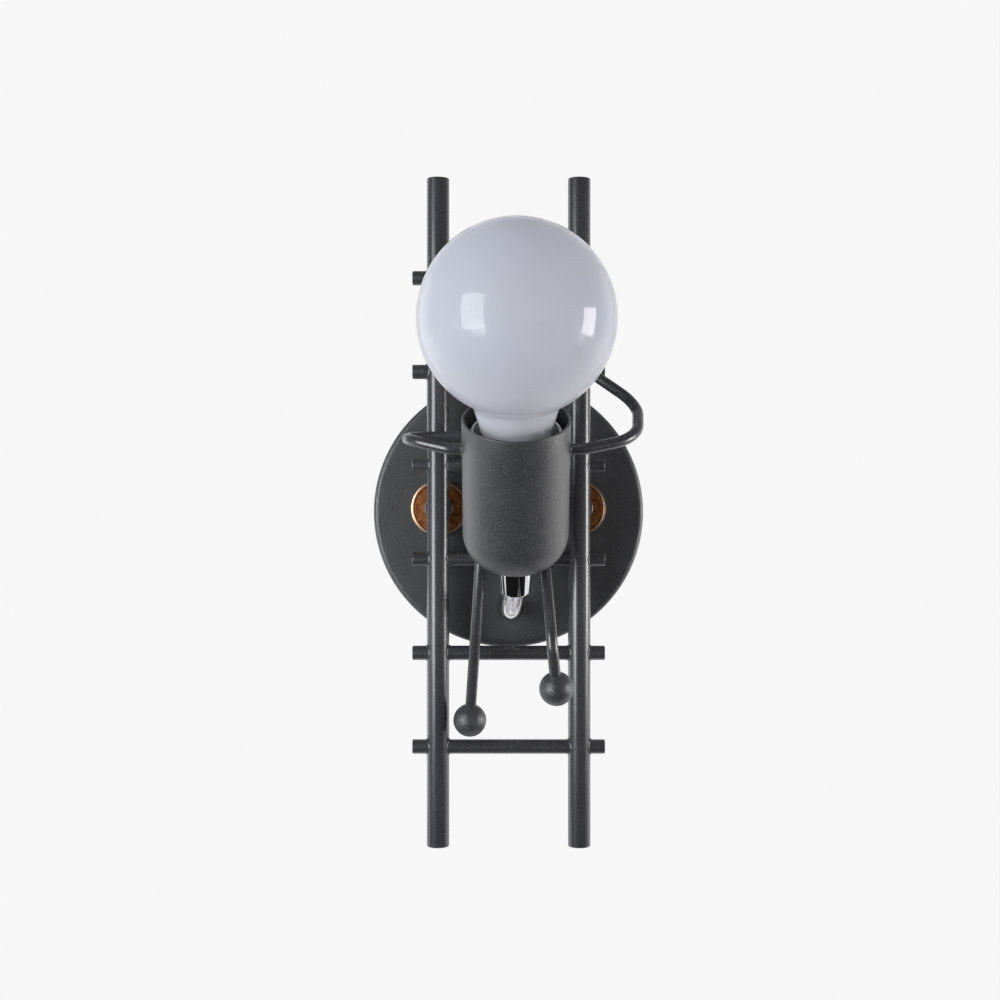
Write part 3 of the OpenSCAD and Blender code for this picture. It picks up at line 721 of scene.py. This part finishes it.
def makeCanopy():
    size = boxSize("canopy")
    radius = size.x / 2
    depth = size.y
    edge = canopy["edge"]
    profile = [(radius, 0), (radius, depth * 0.5), (radius, depth - edge)]
    profile += arc((radius - edge, depth - edge), edge, 0, 90, 10)
    profile += [(radius * share, depth) for share in canopy["faceRings"]]
    pan = turned(profile, canopy["sides"], domed=True)
    applyModifier(pan, "SOLIDIFY", thickness=canopy["wall"], offset=-1)
    startEdit()
    pick("EDGE", lambda e: nearHeight(0)(e) and len(e.link_faces) == 2 and e.calc_face_angle(0) > 1)
    bpy.ops.mesh.bevel(offset=canopy["rimRound"], segments=3, affect="EDGES")
    endEdit()
    settle(pan, wallFrame)
    face = -depth
    lead = boxCentre("lead_grommet")
    cuts = [holeCutter((lead.x, face, lead.z), (0, 1, 0), canopy["leadHole"])]
    for side, post in ((-1, "left_post"), (1, "right_post")):
        spot = boxCentre(post)
        cuts.append(holeCutter((spot.x, face, spot.z), (0, 1, 0), canopy["postHole"]))
        screwY = boxCentre("canopy_side_screws").y
        cuts.append(holeCutter((side * radius, screwY, 0), (1, 0, 0), canopy["sideHole"]))
    cutWith(pan, joinPieces(cuts[0], cuts[1:]))
    return fit(pan, "canopyPan", finishes["sanded"], ["canopy"])


washer = {
    "hole": 0.00265,
    "bevelWide": 0.0009,
    "bevelDeep": 0.0005,
    "lip": 0.00035,
    "groove": 0.0005,
    "grooveDeep": 0.00035,
    "edge": 0.00012,
}


def makeWasher(node, name):
    size = boxSize(node)
    centre = boxCentre(node)
    radius = size.x / 2
    thick = size.y
    hole, edge = washer["hole"], washer["edge"]
    rim = radius - washer["bevelWide"]
    lip = rim - washer["lip"]
    plate = lip - washer["groove"]
    floor = thick - washer["grooveDeep"]
    profile = [
        (hole, 0),
        (radius - edge, 0),
        (radius, edge),
        (radius, thick - washer["bevelDeep"] - edge),
        (radius - edge * 0.5, thick - washer["bevelDeep"] + edge),
        (rim + edge * 0.5, thick - edge),
        (rim - edge * 0.5, thick),
        (lip, thick),
        (lip - edge, floor),
        (plate + edge, floor),
        (plate, thick - edge),
        (plate - edge, thick),
        (hole + edge, thick),
        (hole, thick - edge),
    ]
    disc = turned(profile, 128, ring=True)
    settle(disc, Matrix.Translation((centre.x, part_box(node)[1].y, centre.z)) @ wallFrame)
    return fit(disc, name, copperFinish(name + "Copper", centre), [node], smooth=20)


post = {
    "footRound": 0.0003,
    "headChamfer": 0.0007,
    "bore": 0.00265,
    "saddleLength": 0.04,
}


def makePost(node, rail, name):
    size = boxSize(node)
    centre = boxCentre(node)
    radius = size.x / 2
    length = size.y
    foot, head = post["footRound"], post["headChamfer"]
    profile = [(post["bore"], 0), (radius - foot, 0)]
    profile += arc((radius - foot, foot), foot, -90, 0, 3)
    profile += [(radius, length - head)]
    profile += arc((radius - head, length - head), head, 0, 90, 5)
    profile += [(post["bore"], length)]
    spacer = turned(profile, 96, ring=True)
    settle(spacer, Matrix.Translation((centre.x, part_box(node)[1].y, centre.z)) @ wallFrame)
    railSpot = boxCentre(rail)
    saddleSpot = (railSpot.x, railSpot.y, centre.z)
    cutWith(spacer, holeCutter(saddleSpot, (0, 0, 1), ladder["railRadius"], post["saddleLength"]))
    return fit(spacer, name, finishes["satin"], [node])


makeCanopy()
makeWasher("left_washer", "leftWasher")
makeWasher("right_washer", "rightWasher")
makePost("left_post", "left_rail", "leftPost")
makePost("right_post", "right_rail", "rightPost")
print("canopy, washers and posts made")


# ladder

weld = {
    "bead": 0.00045,
    "limbBead": 0.0005,
    "lumps": 0.0012,
    "lumpHeight": 0.0002,
    "sides": 48,
    "beadSides": 14,
    "widest": 0.98,
}
weldLumps = bpy.data.textures.new("weldLumps", "CLOUDS")
weldLumps.noise_scale = weld["lumps"]


def weldRing(rodRadius, wallRadius, place, bead=weld["bead"]):
    # a bead round a rod where it meets a round wall; z is the rod's axis, y lies across the wall's axis
    deselect()
    bpy.ops.mesh.primitive_torus_add(
        major_segments=weld["sides"],
        minor_segments=weld["beadSides"],
        major_radius=rodRadius,
        minor_radius=bead,
    )
    ring = bpy.context.object
    for vert in ring.data.vertices:
        across = min(abs(vert.co.y), wallRadius * weld["widest"])
        vert.co.z -= wallRadius - sqrt(wallRadius ** 2 - across ** 2)
    settle(ring, place)
    applyModifier(
        ring,
        "DISPLACE",
        texture=weldLumps,
        texture_coords="LOCAL",
        strength=weld["lumpHeight"],
        mid_level=0.5,
    )
    return ring


def makeRail(node, name):
    low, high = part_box(node)
    spot = (low + high) / 2
    bottom = Vector((spot.x, spot.y, low.z))
    top = Vector((spot.x, spot.y, high.z))
    rail = straightRod(bottom, top, ladder["railRadius"], ladder["railChamfer"])
    return fit(rail, name, finishes["satin"], [node])


def makeRung(node, name):
    low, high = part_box(node)
    spot = (low + high) / 2
    left = Vector((low.x, spot.y, spot.z))
    right = Vector((high.x, spot.y, spot.z))
    rung = straightRod(left, right, ladder["rungRadius"], ladder["rungChamfer"])
    beads = []
    for side in (-1, 1):
        for face in (-1, 1):
            edge = side * ladder["railX"] + face * ladder["railRadius"]
            turn = Matrix.Rotation(radians(90) * face, 4, "Y")
            seat = Matrix.Translation((edge, spot.y, spot.z)) @ turn
            beads.append(weldRing(ladder["rungRadius"], ladder["railRadius"], seat))
    joinPieces(rung, beads)
    return fit(rung, name, finishes["satin"], [node])


makeRail("left_rail", "leftRail")
makeRail("right_rail", "rightRail")
for number in range(1, ladder["rungCount"] + 1):
    makeRung("rung_%d" % number, "rung%d" % number)
print("ladder made")


# figure

cup = {
    "radius": 0.0225,
    "height": 0.069,
    "wall": 0.0012,
    "edge": 0.016,
    "hole": 0.005,
    "rimRound": 0.0005,
    "wallRings": (0.8, 0.6, 0.4, 0.2, 0.0),
    "sides": 160,
}


def makeCup():
    radius, height, edge = cup["radius"], cup["height"], cup["edge"]
    profile = [(cup["hole"], -height), (radius - edge, -height)]
    profile += arc((radius - edge, edge - height), edge, -90, 0, 24)
    profile += [(radius, (edge - height) * share) for share in cup["wallRings"]]
    bell = turned(profile, cup["sides"])
    applyModifier(bell, "SOLIDIFY", thickness=cup["wall"], offset=-1)
    startEdit()
    pick("EDGE", lambda e: nearHeight(0)(e) and e.calc_face_angle(0) > 1)
    bpy.ops.mesh.bevel(offset=cup["rimRound"], segments=4, affect="EDGES")
    endEdit()
    settle(bell, figureFrame)
    return fit(bell, "lampCup", finishes["sanded"], ["lamp_cup"])


limb = {
    "thickness": 0.0048,
    "cope": 0.0006,
    "shoulderDrop": 0.014,
    "elbowBack": 0.0138,
}
rimAhead = ladder["y"] - rimCentre.y
handAhead = ladder["railRadius"] + limb["thickness"] / 2 - limb["cope"]

leftArm = {
    "upper": 0.005,
    "reach": 0.0429,
    "handZ": 0.0334,
    "elbowDrop": 0.0026,
    "wristOut": 0.004,
    "wristDrop": 0.0004,
    "wristX": 0.001,
    "grip": 0.012,
    "bends": (0.010, 0.012, 0.008, 0.006),
}

rightArm = {
    "upper": 0.006,
    "reach": 0.055,
    "bow": 0.0012,
    "handZ": 0.065,
    "elbowDrop": 0.0336,
    "wristOut": 0.0112,
    "wristDrop": 0.0182,
    "grip": 0.009,
    "gripRise": 0.003,
    "bends": (0.014, 0.018, 0.018, 0.008),
}


def ahead(x, out, z):
    return Vector((x, ladder["y"] - out, z))


def shoulder(side, out):
    return onFigure(side * out, 0, -limb["shoulderDrop"])


def leftArmRoute():
    a = leftArm
    return [
        shoulder(-1, cup["radius"] - cup["wall"] - limb["cope"]),
        shoulder(-1, cup["radius"] + a["upper"]),
        ahead(-a["reach"], rimAhead - limb["elbowBack"], a["handZ"] - a["elbowDrop"]),
        ahead(-a["reach"], handAhead + a["wristOut"], a["handZ"] - a["wristDrop"]),
        ahead(-ladder["railX"] - a["wristX"], handAhead, a["handZ"]),
        ahead(-ladder["railX"] + a["grip"], handAhead, a["handZ"]),
    ]


def rightArmRoute():
    a = rightArm
    return [
        shoulder(1, cup["radius"] - cup["wall"] - limb["cope"]),
        shoulder(1, cup["radius"] + a["upper"]),
        ahead(a["reach"] - a["bow"], rimAhead - limb["elbowBack"], a["handZ"] - a["elbowDrop"]),
        ahead(a["reach"] + a["bow"], handAhead + a["wristOut"], a["handZ"] - a["wristDrop"]),
        ahead(ladder["railX"], handAhead, a["handZ"]),
        ahead(ladder["railX"] - a["grip"], handAhead, a["handZ"] + a["gripRise"]),
    ]


def makeArm(side, route, bends, node, name):
    arm = bentRod(route, bends, limb["thickness"])
    turn = Matrix.Rotation(radians(90) * side, 4, "Y")
    seat = figureFrame @ Matrix.Translation((side * cup["radius"], 0, -limb["shoulderDrop"])) @ turn
    joinPieces(arm, [weldRing(limb["thickness"] / 2, cup["radius"], seat, weld["limbBead"])])
    return fit(arm, name, finishes["satin"], [node])


leg = {
    "leftHipX": 0.015,
    "rightHipX": 0.0127,
    "root": 0.0008,
    "beadDrop": 0.0006,
    "kneeAhead": 0.050,
    "kneeZ": -0.054,
    "kneeShift": 0.0022,
    "kneeBend": 0.012,
}


def hip(x):
    # the point of the cup's round foot at this distance from its axis
    along = abs(x) - (cup["radius"] - cup["edge"])
    return onFigure(x, 0, cup["edge"] - cup["height"] - sqrt(cup["edge"] ** 2 - along ** 2))


def makeLeg(hipSpot, corners, bends, node, name):
    down = (corners[0] - hipSpot).normalized()
    route = [hipSpot - down * (cup["wall"] + leg["root"])] + corners
    rod = bentRod(route, bends, limb["thickness"])
    turn = down.to_track_quat("Z", "Y").to_matrix().to_4x4()
    seat = Matrix.Translation(hipSpot + down * leg["beadDrop"]) @ turn
    flatWall = 1.0  # so wide a wall leaves the bead flat
    joinPieces(rod, [weldRing(limb["thickness"] / 2, flatWall, seat, weld["limbBead"])])
    return fit(rod, name, finishes["satin"], [node])


foot = {
    "collar": 0.0034,
    "rise": 0.0005,
    "taper": 0.82,
    "sides": 64,
    "rings": 40,
}


def makeFoot(node, legEnd, name):
    # a ball with a low collar of paint-filled weld where the leg enters it
    radius = min(boxSize(node)) / 2
    centre = boxCentre(node)
    deselect()
    bpy.ops.mesh.primitive_uv_sphere_add(segments=foot["sides"], ring_count=foot["rings"], radius=radius)
    ball = bpy.context.object
    startEdit()
    top = sqrt(radius ** 2 - foot["collar"] ** 2)
    pick("FACE", lambda f: f.calc_center_median().z > top)
    bpy.ops.mesh.extrude_region_move(TRANSFORM_OT_translate={"value": (0, 0, foot["rise"])})
    bpy.ops.transform.resize(value=(foot["taper"], foot["taper"], 1), center_override=(0, 0, radius))
    endEdit()
    turn = (legEnd - centre).to_track_quat("Z", "Y").to_matrix().to_4x4()
    settle(ball, Matrix.Translation(centre) @ turn)
    return fit(ball, name, finishes["sanded"], [node])


def makeFigure():
    makeCup()
    makeArm(-1, leftArmRoute(), leftArm["bends"], "left_arm", "leftArm")
    makeArm(1, rightArmRoute(), rightArm["bends"], "right_arm", "rightArm")
    leftBall = boxCentre("left_foot")
    rightBall = boxCentre("right_foot")
    leftHip = hip(-leg["leftHipX"])
    rightHip = hip(leg["rightHipX"])
    knee = ahead(rimCentre.x + leg["rightHipX"] + leg["kneeShift"], leg["kneeAhead"], leg["kneeZ"])
    makeLeg(leftHip, [leftBall], (), "left_leg", "leftLeg")
    makeLeg(rightHip, [knee, rightBall], (leg["kneeBend"],), "right_leg", "rightLeg")
    makeFoot("left_foot", leftHip, "leftFoot")
    makeFoot("right_foot", knee, "rightFoot")


makeFigure()
print("figure made")


# lead

gland = {
    "radius": boxSize("gland_nut").x / 2,
    "length": 0.013,
    "skirt": 0.003,
    "taper": 0.0002,
    "edge": 0.0005,
    "round": 0.0002,
    "nipple": 0.005,
    "grip": 0.010,
    "play": 0.0011,
}

lead = {
    "sleeve": 0.009,
    "wall": 0.001,
    "bend": 0.018,
    "shift": 0.0009,
    "slack": 0.0009,
    "inside": 0.0076,
    "sides": 48,
}


def makeGland():
    top = -cup["height"]
    low = top - gland["length"]
    radius, narrow = gland["radius"], gland["radius"] - gland["taper"]
    edge, soft = gland["edge"], gland["round"]
    bore = lead["sleeve"] / 2 + gland["play"]
    profile = [(gland["nipple"], top), (radius - 2 * soft, top)]
    profile += arc((radius - 2 * soft, top - 2 * soft), 2 * soft, 90, 0, 4)
    profile += [(radius, top - gland["skirt"] + soft), (narrow, low + edge + soft)]
    profile += arc((narrow - edge, low + edge), edge, 0, -90, 5)
    profile += [(bore + soft, low)]
    profile += arc((bore + soft, low + soft), soft, -90, -180, 3)
    profile += [(bore, low + gland["grip"]), (gland["nipple"], low + gland["grip"])]
    nut = turned(profile, 128, ring=True)
    settle(nut, figureFrame)
    return fit(nut, "glandNut", finishes["chrome"], ["gland_nut"])


def leadRoute():
    top = gland["grip"] - cup["height"] - gland["length"] - lead["slack"]
    entry = boxCentre("lead_grommet")
    corner = (entry.z - rimCentre.z) / cos(lean)
    endY = -boxSize("canopy").y + canopy["wall"] + lead["inside"]
    return [
        onFigure(lead["shift"], 0, top),
        onFigure(entry.x - rimCentre.x, 0, corner),
        Vector((entry.x, endY, entry.z)),
    ]


def makeLead():
    route = leadRoute()
    sleeve = bentTube(route, [lead["bend"]], lead["sleeve"], lead["sides"])
    applyModifier(sleeve, "SOLIDIFY", thickness=lead["wall"], offset=-1)
    fit(sleeve, "leadSleeve", finishes["vinyl"], ["lead_sleeve"])


makeGland()
makeLead()
print("gland and lead made")


# bulb

bulb = {
    "radius": boxSize("bulb_globe").x / 2,
    "length": 0.119,
    "seat": 0.035,
    "capLength": 0.027,
    "plug": 0.0109,
    "plugDepth": 0.006,
    "neckFoot": 0.0012,
    "footRound": (0.0006, 0.0003),
    "neckLow": 0.0143,
    "neckTop": boxSize("bulb_neck").x / 2,
    "fillet": 0.010,
    "glass": 0.001,
    "neckRings": 8,
    "filletRings": 14,
    "globeRings": 96,
    "crownEnd": 89.6,
    "sides": 160,
}


def globeProfile():
    # (radius, height) from the plug in the cap up to the crown, with a hollow fillet under the globe
    radius, fillet = bulb["radius"], bulb["fillet"]
    centre = bulb["length"] - bulb["seat"] - radius
    capTop = bulb["capLength"] - bulb["seat"]
    low = (bulb["neckLow"], capTop + bulb["neckFoot"])
    join = centre - sqrt(radius ** 2 - bulb["neckTop"] ** 2)
    slope = (bulb["neckTop"] - bulb["neckLow"]) / (join - low[1])
    # the fillet's centre lies its radius away from both the neck's line and the globe
    lift = bulb["neckLow"] - slope * low[1] + fillet * sqrt(1 + slope ** 2)
    a = 1 + slope ** 2
    b = lift * slope - centre
    c = lift ** 2 + centre ** 2 - (radius + fillet) ** 2
    t = (-b - sqrt(b ** 2 - a * c)) / a
    hub = (lift + slope * t, t)
    neckLean = atan2(slope, 1)
    neckTurn = 180 - degrees(neckLean)
    globeTurn = degrees(atan2(centre - hub[1], -hub[0]))
    globeStart = degrees(atan2(hub[1] - centre, hub[0]))
    start = (hub[0] - fillet * cos(neckLean), hub[1] + fillet * sin(neckLean))
    footIn, footUp = bulb["footRound"]
    profile = [(bulb["plug"], capTop - bulb["plugDepth"]), (bulb["plug"], capTop)]
    profile += [(bulb["neckLow"] - footIn, capTop + footUp), low]
    rings = bulb["neckRings"]
    profile += [
        (low[0] + (start[0] - low[0]) * i / rings, low[1] + (start[1] - low[1]) * i / rings)
        for i in range(1, rings + 1)
    ]
    profile += arc(hub, fillet, neckTurn, globeTurn, bulb["filletRings"])
    profile += arc((0, centre), radius, globeStart, bulb["crownEnd"], bulb["globeRings"])
    return profile


def makeBulb():
    globe = turned(globeProfile(), bulb["sides"], domed=True)
    applyModifier(globe, "SOLIDIFY", thickness=bulb["glass"], offset=-1)
    settle(globe, figureFrame)
    stoodFor = ["bulb_globe", "bulb_neck"]
    return fit(globe, "bulbGlass", finishes["opal"], stoodFor, body="bulb", smooth=40)


makeBulb()
print("bulb made")


# pieces that keep their CAD shape, with softened edges and their own finish

dressing = {
    "merge": 2e-6,
    "flatWithin": 0.5,
    "soften": 0.00012,
    "softenFrom": 40,
}


def dress(node, finish, body="fixture", soften=dressing["soften"], subdivide=0, shape=None):
    deselect()
    source = nodes[node]
    source.select_set(True)
    bpy.context.view_layer.objects.active = source
    bpy.ops.object.duplicate()
    piece = bpy.context.object
    bpy.ops.object.parent_clear(type="CLEAR")
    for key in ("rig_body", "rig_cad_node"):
        del piece[key]
    startEdit()
    bpy.ops.mesh.remove_doubles(threshold=dressing["merge"])
    bpy.ops.mesh.customdata_custom_splitnormals_clear()
    if not subdivide:
        bpy.ops.mesh.dissolve_limited(angle_limit=radians(dressing["flatWithin"]))
    if shape:
        shape()
    endEdit()
    if soften:
        applyModifier(
            piece,
            "BEVEL",
            width=soften,
            segments=2,
            limit_method="ANGLE",
            angle_limit=radians(dressing["softenFrom"]),
        )
    if subdivide:
        applyModifier(piece, "SUBSURF", levels=subdivide, render_levels=subdivide)
    words = node.split("_")
    name = words[0] + "".join(word.capitalize() for word in words[1:])
    fit(piece, name, finishes[finish], [node], body)
    if soften:
        # flat faces keep their own shading beside the softened edges
        applyModifier(piece, "WEIGHTED_NORMAL", keep_sharp=True)
    return piece


socketMouth = {
    "drop": 0.005,
    "lip": 0.0008,
    "slack": 0.00002,
    "round": 0.0005,
}


def roundSocketMouth():
    # the glaze runs over the ceramic's mouth in a wide round
    toFigure = figureFrame.inverted()
    reach = boxSize("socket_body").x / 2 - socketMouth["lip"]

    def atMouth(edge):
        spots = [toFigure @ v.co for v in edge.verts]
        level = all(abs(spot.z + socketMouth["drop"]) < socketMouth["slack"] for spot in spots)
        return level and all(spot.xy.length < reach for spot in spots)

    pick("EDGE", atMouth)
    bpy.ops.mesh.bevel(offset=socketMouth["round"], segments=4, affect="EDGES")


dressed = {
    "zinc": (
        "zinc_steel",
        [
            "wall_bracket",
            "canopy_side_screws",
            "terminal_screws",
            "terminal_block_screw",
            "post_screws",
            "post_spring_washers",
            "nipple",
            "cup_lock_nut",
            "socket_yoke",
            "yoke_nut",
            "yoke_screws",
            "socket_terminal_screws",
        ],
    ),
    "brass": (
        "brass",
        ["earth_screw", "terminal_inserts", "socket_contact", "socket_rivets", "socket_terminals"],
    ),
    "polyamide": ("white_plastic", ["terminal_block"]),
    "rubber": ("black_rubber", ["lead_grommet"]),
}
for finish, (slot, names) in dressed.items():
    for node in names:
        dress(node, finish)
dress("socket_body", "porcelain", shape=roundSocketMouth)
dress("socket_shell", "brass", soften=0, subdivide=1)
dress("bulb_cap", "nickel", body="bulb", soften=0, subdivide=1)
dress("bulb_insulator", "vitrite", body="bulb")
dress("bulb_contact", "nickel", body="bulb_tip")


def paint(node, finish):
    piece = nodes[node]
    piece.data.materials.clear()
    piece.data.materials.append(finishes[finish])


paint("lead_wires", "insulation")
paint("bulb_stem", "stemGlass")
paint("bulb_filaments", "phosphor")
print("small pieces dressed")


# stage

stage = {
    "floorDrop": 0.45,
    "floorSize": 14.0,
    "pale": 0.93,
    "floorColour": (0.60, 0.60, 0.60, 1),
    "floorRough": 0.9,
    "floorShine": 0.1,
    "floorShadow": 0.3,
    "floorPool": (0.3, 0.8),
    "frontFill": 0.28,
    "sideFill": 0.34,
    "backFill": 0.90,
    "topFill": 0.16,
    "nearFrom": (-0.6, 0.1),
    "aboveFrom": (0.1, 0.8),
    "fillBackFrom": (0.1, 0.8),
    "glowBackFrom": (0.45, 0.95),
    "frontGlow": 0.04,
    "sideGlow": 0.14,
    "cardSize": 4.0,
    "cardLift": 0.02,
    "cardColour": (0.01, 0.01, 0.01, 1),
    "lampDistance": 1.7,
}

softboxes = {
    "leftSoftbox": {
        "toward": (-0.78, -0.63, 0.045),
        "wide": 0.84,
        "tall": 1.12,
        "watts": 19.5,
        "colour": (0.95, 0.98, 1.0),
    },
    "rightSoftbox": {
        "toward": (0.998, -0.02, -0.05),
        "wide": 0.58,
        "tall": 0.64,
        "watts": 12.8,
        "colour": (1.0, 0.985, 0.97),
    },
    "leftLow": {
        "toward": (-0.68, -0.69, -0.30),
        "wide": 0.5,
        "tall": 0.3,
        "watts": 2.4,
        "colour": (0.97, 0.99, 1.0),
    },
    "rightLow": {
        "toward": (0.95, -0.15, -0.30),
        "wide": 0.6,
        "tall": 0.3,
        "watts": 1.0,
        "colour": (1.0, 1.0, 1.0),
    },
    "leftRim": {
        "toward": (-0.74, 0.67, 0.0),
        "wide": 0.8,
        "tall": 1.4,
        "watts": 3.7,
        "colour": (0.97, 0.99, 1.0),
    },
    "rightRim": {
        "toward": (0.80, 0.60, 0.0),
        "wide": 0.8,
        "tall": 1.4,
        "watts": 2.4,
        "colour": (1.0, 1.0, 1.0),
    },
}


def addSoftboxes():
    target = boxCentre("bulb_globe")
    for name, box in softboxes.items():
        toward = Vector(box["toward"]).normalized()
        turn = (-toward).to_track_quat("-Z", "Y").to_euler()
        spot = target + toward * stage["lampDistance"]
        bpy.ops.object.light_add(type="AREA", location=spot, rotation=turn)
        lamp = bpy.context.object
        lamp.name = name
        lamp.data.shape = "RECTANGLE"
        lamp.data.size = box["wide"]
        lamp.data.size_y = box["tall"]
        lamp.data.energy = box["watts"]
        lamp.data.color = box["colour"]
        lamp.visible_camera = False


def seenRays(tree):
    # what shines, and what the camera sees straight or through a clear piece
    path = addNode(tree, "ShaderNodeLightPath")
    shown = addNode(tree, "ShaderNodeMath", operation="MAXIMUM")
    tree.links.new(path.outputs["Is Camera Ray"], shown.inputs[0])
    tree.links.new(path.outputs["Is Transmission Ray"], shown.inputs[1])
    return path.outputs["Is Glossy Ray"], shown.outputs["Value"]


def addWorld():
    world = bpy.data.worlds.new("paleStudio")
    scene.world = world
    world.use_nodes = True
    tree = world.node_tree
    tree.nodes.clear()
    glossy, shown = seenRays(tree)
    where = addNode(tree, "ShaderNodeTexCoord")
    split = addNode(tree, "ShaderNodeSeparateXYZ")
    tree.links.new(where.outputs["Generated"], split.inputs["Vector"])
    # the backdrop behind the light is pale and the room in front of it is dim

    def addUp(first, second):
        both = addNode(tree, "ShaderNodeMath", operation="ADD")
        tree.links.new(first, both.inputs[0])
        tree.links.new(second, both.inputs[1])
        return both.outputs["Value"]

    def roomGlow(front, side, back, top, backFrom):
        near = addRange(tree, split.outputs["Y"], *stage["nearFrom"], front, side)
        far = addRange(tree, split.outputs["Y"], *backFrom, 0, back - side)
        above = addRange(tree, split.outputs["Z"], *stage["aboveFrom"], 0, top)
        light = addNode(tree, "ShaderNodeBackground", {"Color": (1, 1, 1, 1)})
        tree.links.new(addUp(addUp(near, far), above), light.inputs["Strength"])
        return light

    ambient = roomGlow(
        stage["frontFill"], stage["sideFill"], stage["backFill"], stage["topFill"], stage["fillBackFrom"]
    )
    shine = roomGlow(stage["frontGlow"], stage["sideGlow"], stage["pale"], 0, stage["glowBackFrom"])
    pale = addNode(tree, "ShaderNodeBackground", {"Color": (1, 1, 1, 1), "Strength": stage["pale"]})
    first = addNode(tree, "ShaderNodeMixShader")
    second = addNode(tree, "ShaderNodeMixShader")
    out = addNode(tree, "ShaderNodeOutputWorld")
    tree.links.new(glossy, first.inputs["Fac"])
    tree.links.new(ambient.outputs["Background"], first.inputs[1])
    tree.links.new(shine.outputs["Background"], first.inputs[2])
    tree.links.new(shown, second.inputs["Fac"])
    tree.links.new(first.outputs["Shader"], second.inputs[1])
    tree.links.new(pale.outputs["Background"], second.inputs[2])
    tree.links.new(second.outputs["Shader"], out.inputs["Surface"])


def addFloor():
    deselect()
    floorZ = cadBox[0].z - stage["floorDrop"]
    bpy.ops.mesh.primitive_plane_add(size=stage["floorSize"], location=(0, 0, floorZ))
    floor = bpy.context.object
    floor.name = "paleFloor"
    finish, tree, shader = startFinish("paleFloor")
    setSockets(
        shader,
        {
            "Base Color": stage["floorColour"],
            "Roughness": stage["floorRough"],
            "Specular IOR Level": stage["floorShine"],
        },
    )
    glossy, shown = seenRays(tree)
    glow = addNode(tree, "ShaderNodeEmission", {"Color": (1, 1, 1, 1), "Strength": stage["pale"]})
    mix = addNode(tree, "ShaderNodeMixShader")
    # the floor keeps a soft shadow below the light and turns into the backdrop further out
    where = addNode(tree, "ShaderNodeTexCoord")
    reach = addNode(tree, "ShaderNodeVectorMath", operation="LENGTH")
    tree.links.new(where.outputs["Object"], reach.inputs[0])
    near, far = stage["floorPool"]
    clear = addRange(tree, reach.outputs["Value"], near, far, 1 - stage["floorShadow"], 1)
    share = addNode(tree, "ShaderNodeMath", operation="MULTIPLY")
    tree.links.new(clear, share.inputs[1])
    seen = addNode(tree, "ShaderNodeMath", operation="MAXIMUM")
    tree.links.new(glossy, seen.inputs[0])
    tree.links.new(shown, seen.inputs[1])
    tree.links.new(seen.outputs["Value"], share.inputs[0])
    tree.links.new(share.outputs["Value"], mix.inputs["Fac"])
    tree.links.new(shader.outputs["BSDF"], mix.inputs[1])
    tree.links.new(glow.outputs["Emission"], mix.inputs[2])
    tree.links.new(mix.outputs["Shader"], tree.nodes["Material Output"].inputs["Surface"])
    floor.data.materials.append(finish)


def addDarkCard():
    # a black card below the front of the light, seen only by what shines, keeps the chrome's middle dark
    deselect()
    size = stage["cardSize"]
    floorZ = cadBox[0].z - stage["floorDrop"]
    lift = stage["cardLift"]
    bpy.ops.mesh.primitive_plane_add(size=size, location=(0, -size / 2 - lift, floorZ + lift))
    card = bpy.context.object
    card.name = "darkCard"
    finish, tree, shader = startFinish("darkCard")
    setSockets(
        shader, {"Base Color": stage["cardColour"], "Roughness": 1.0, "Specular IOR Level": 0.0}
    )
    card.data.materials.append(finish)
    card.visible_camera = False
    card.visible_diffuse = False
    card.visible_shadow = False
    card.visible_transmission = False


addSoftboxes()
addWorld()
addFloor()
addDarkCard()
scene.view_settings.view_transform = "Standard"
print("stage lit")
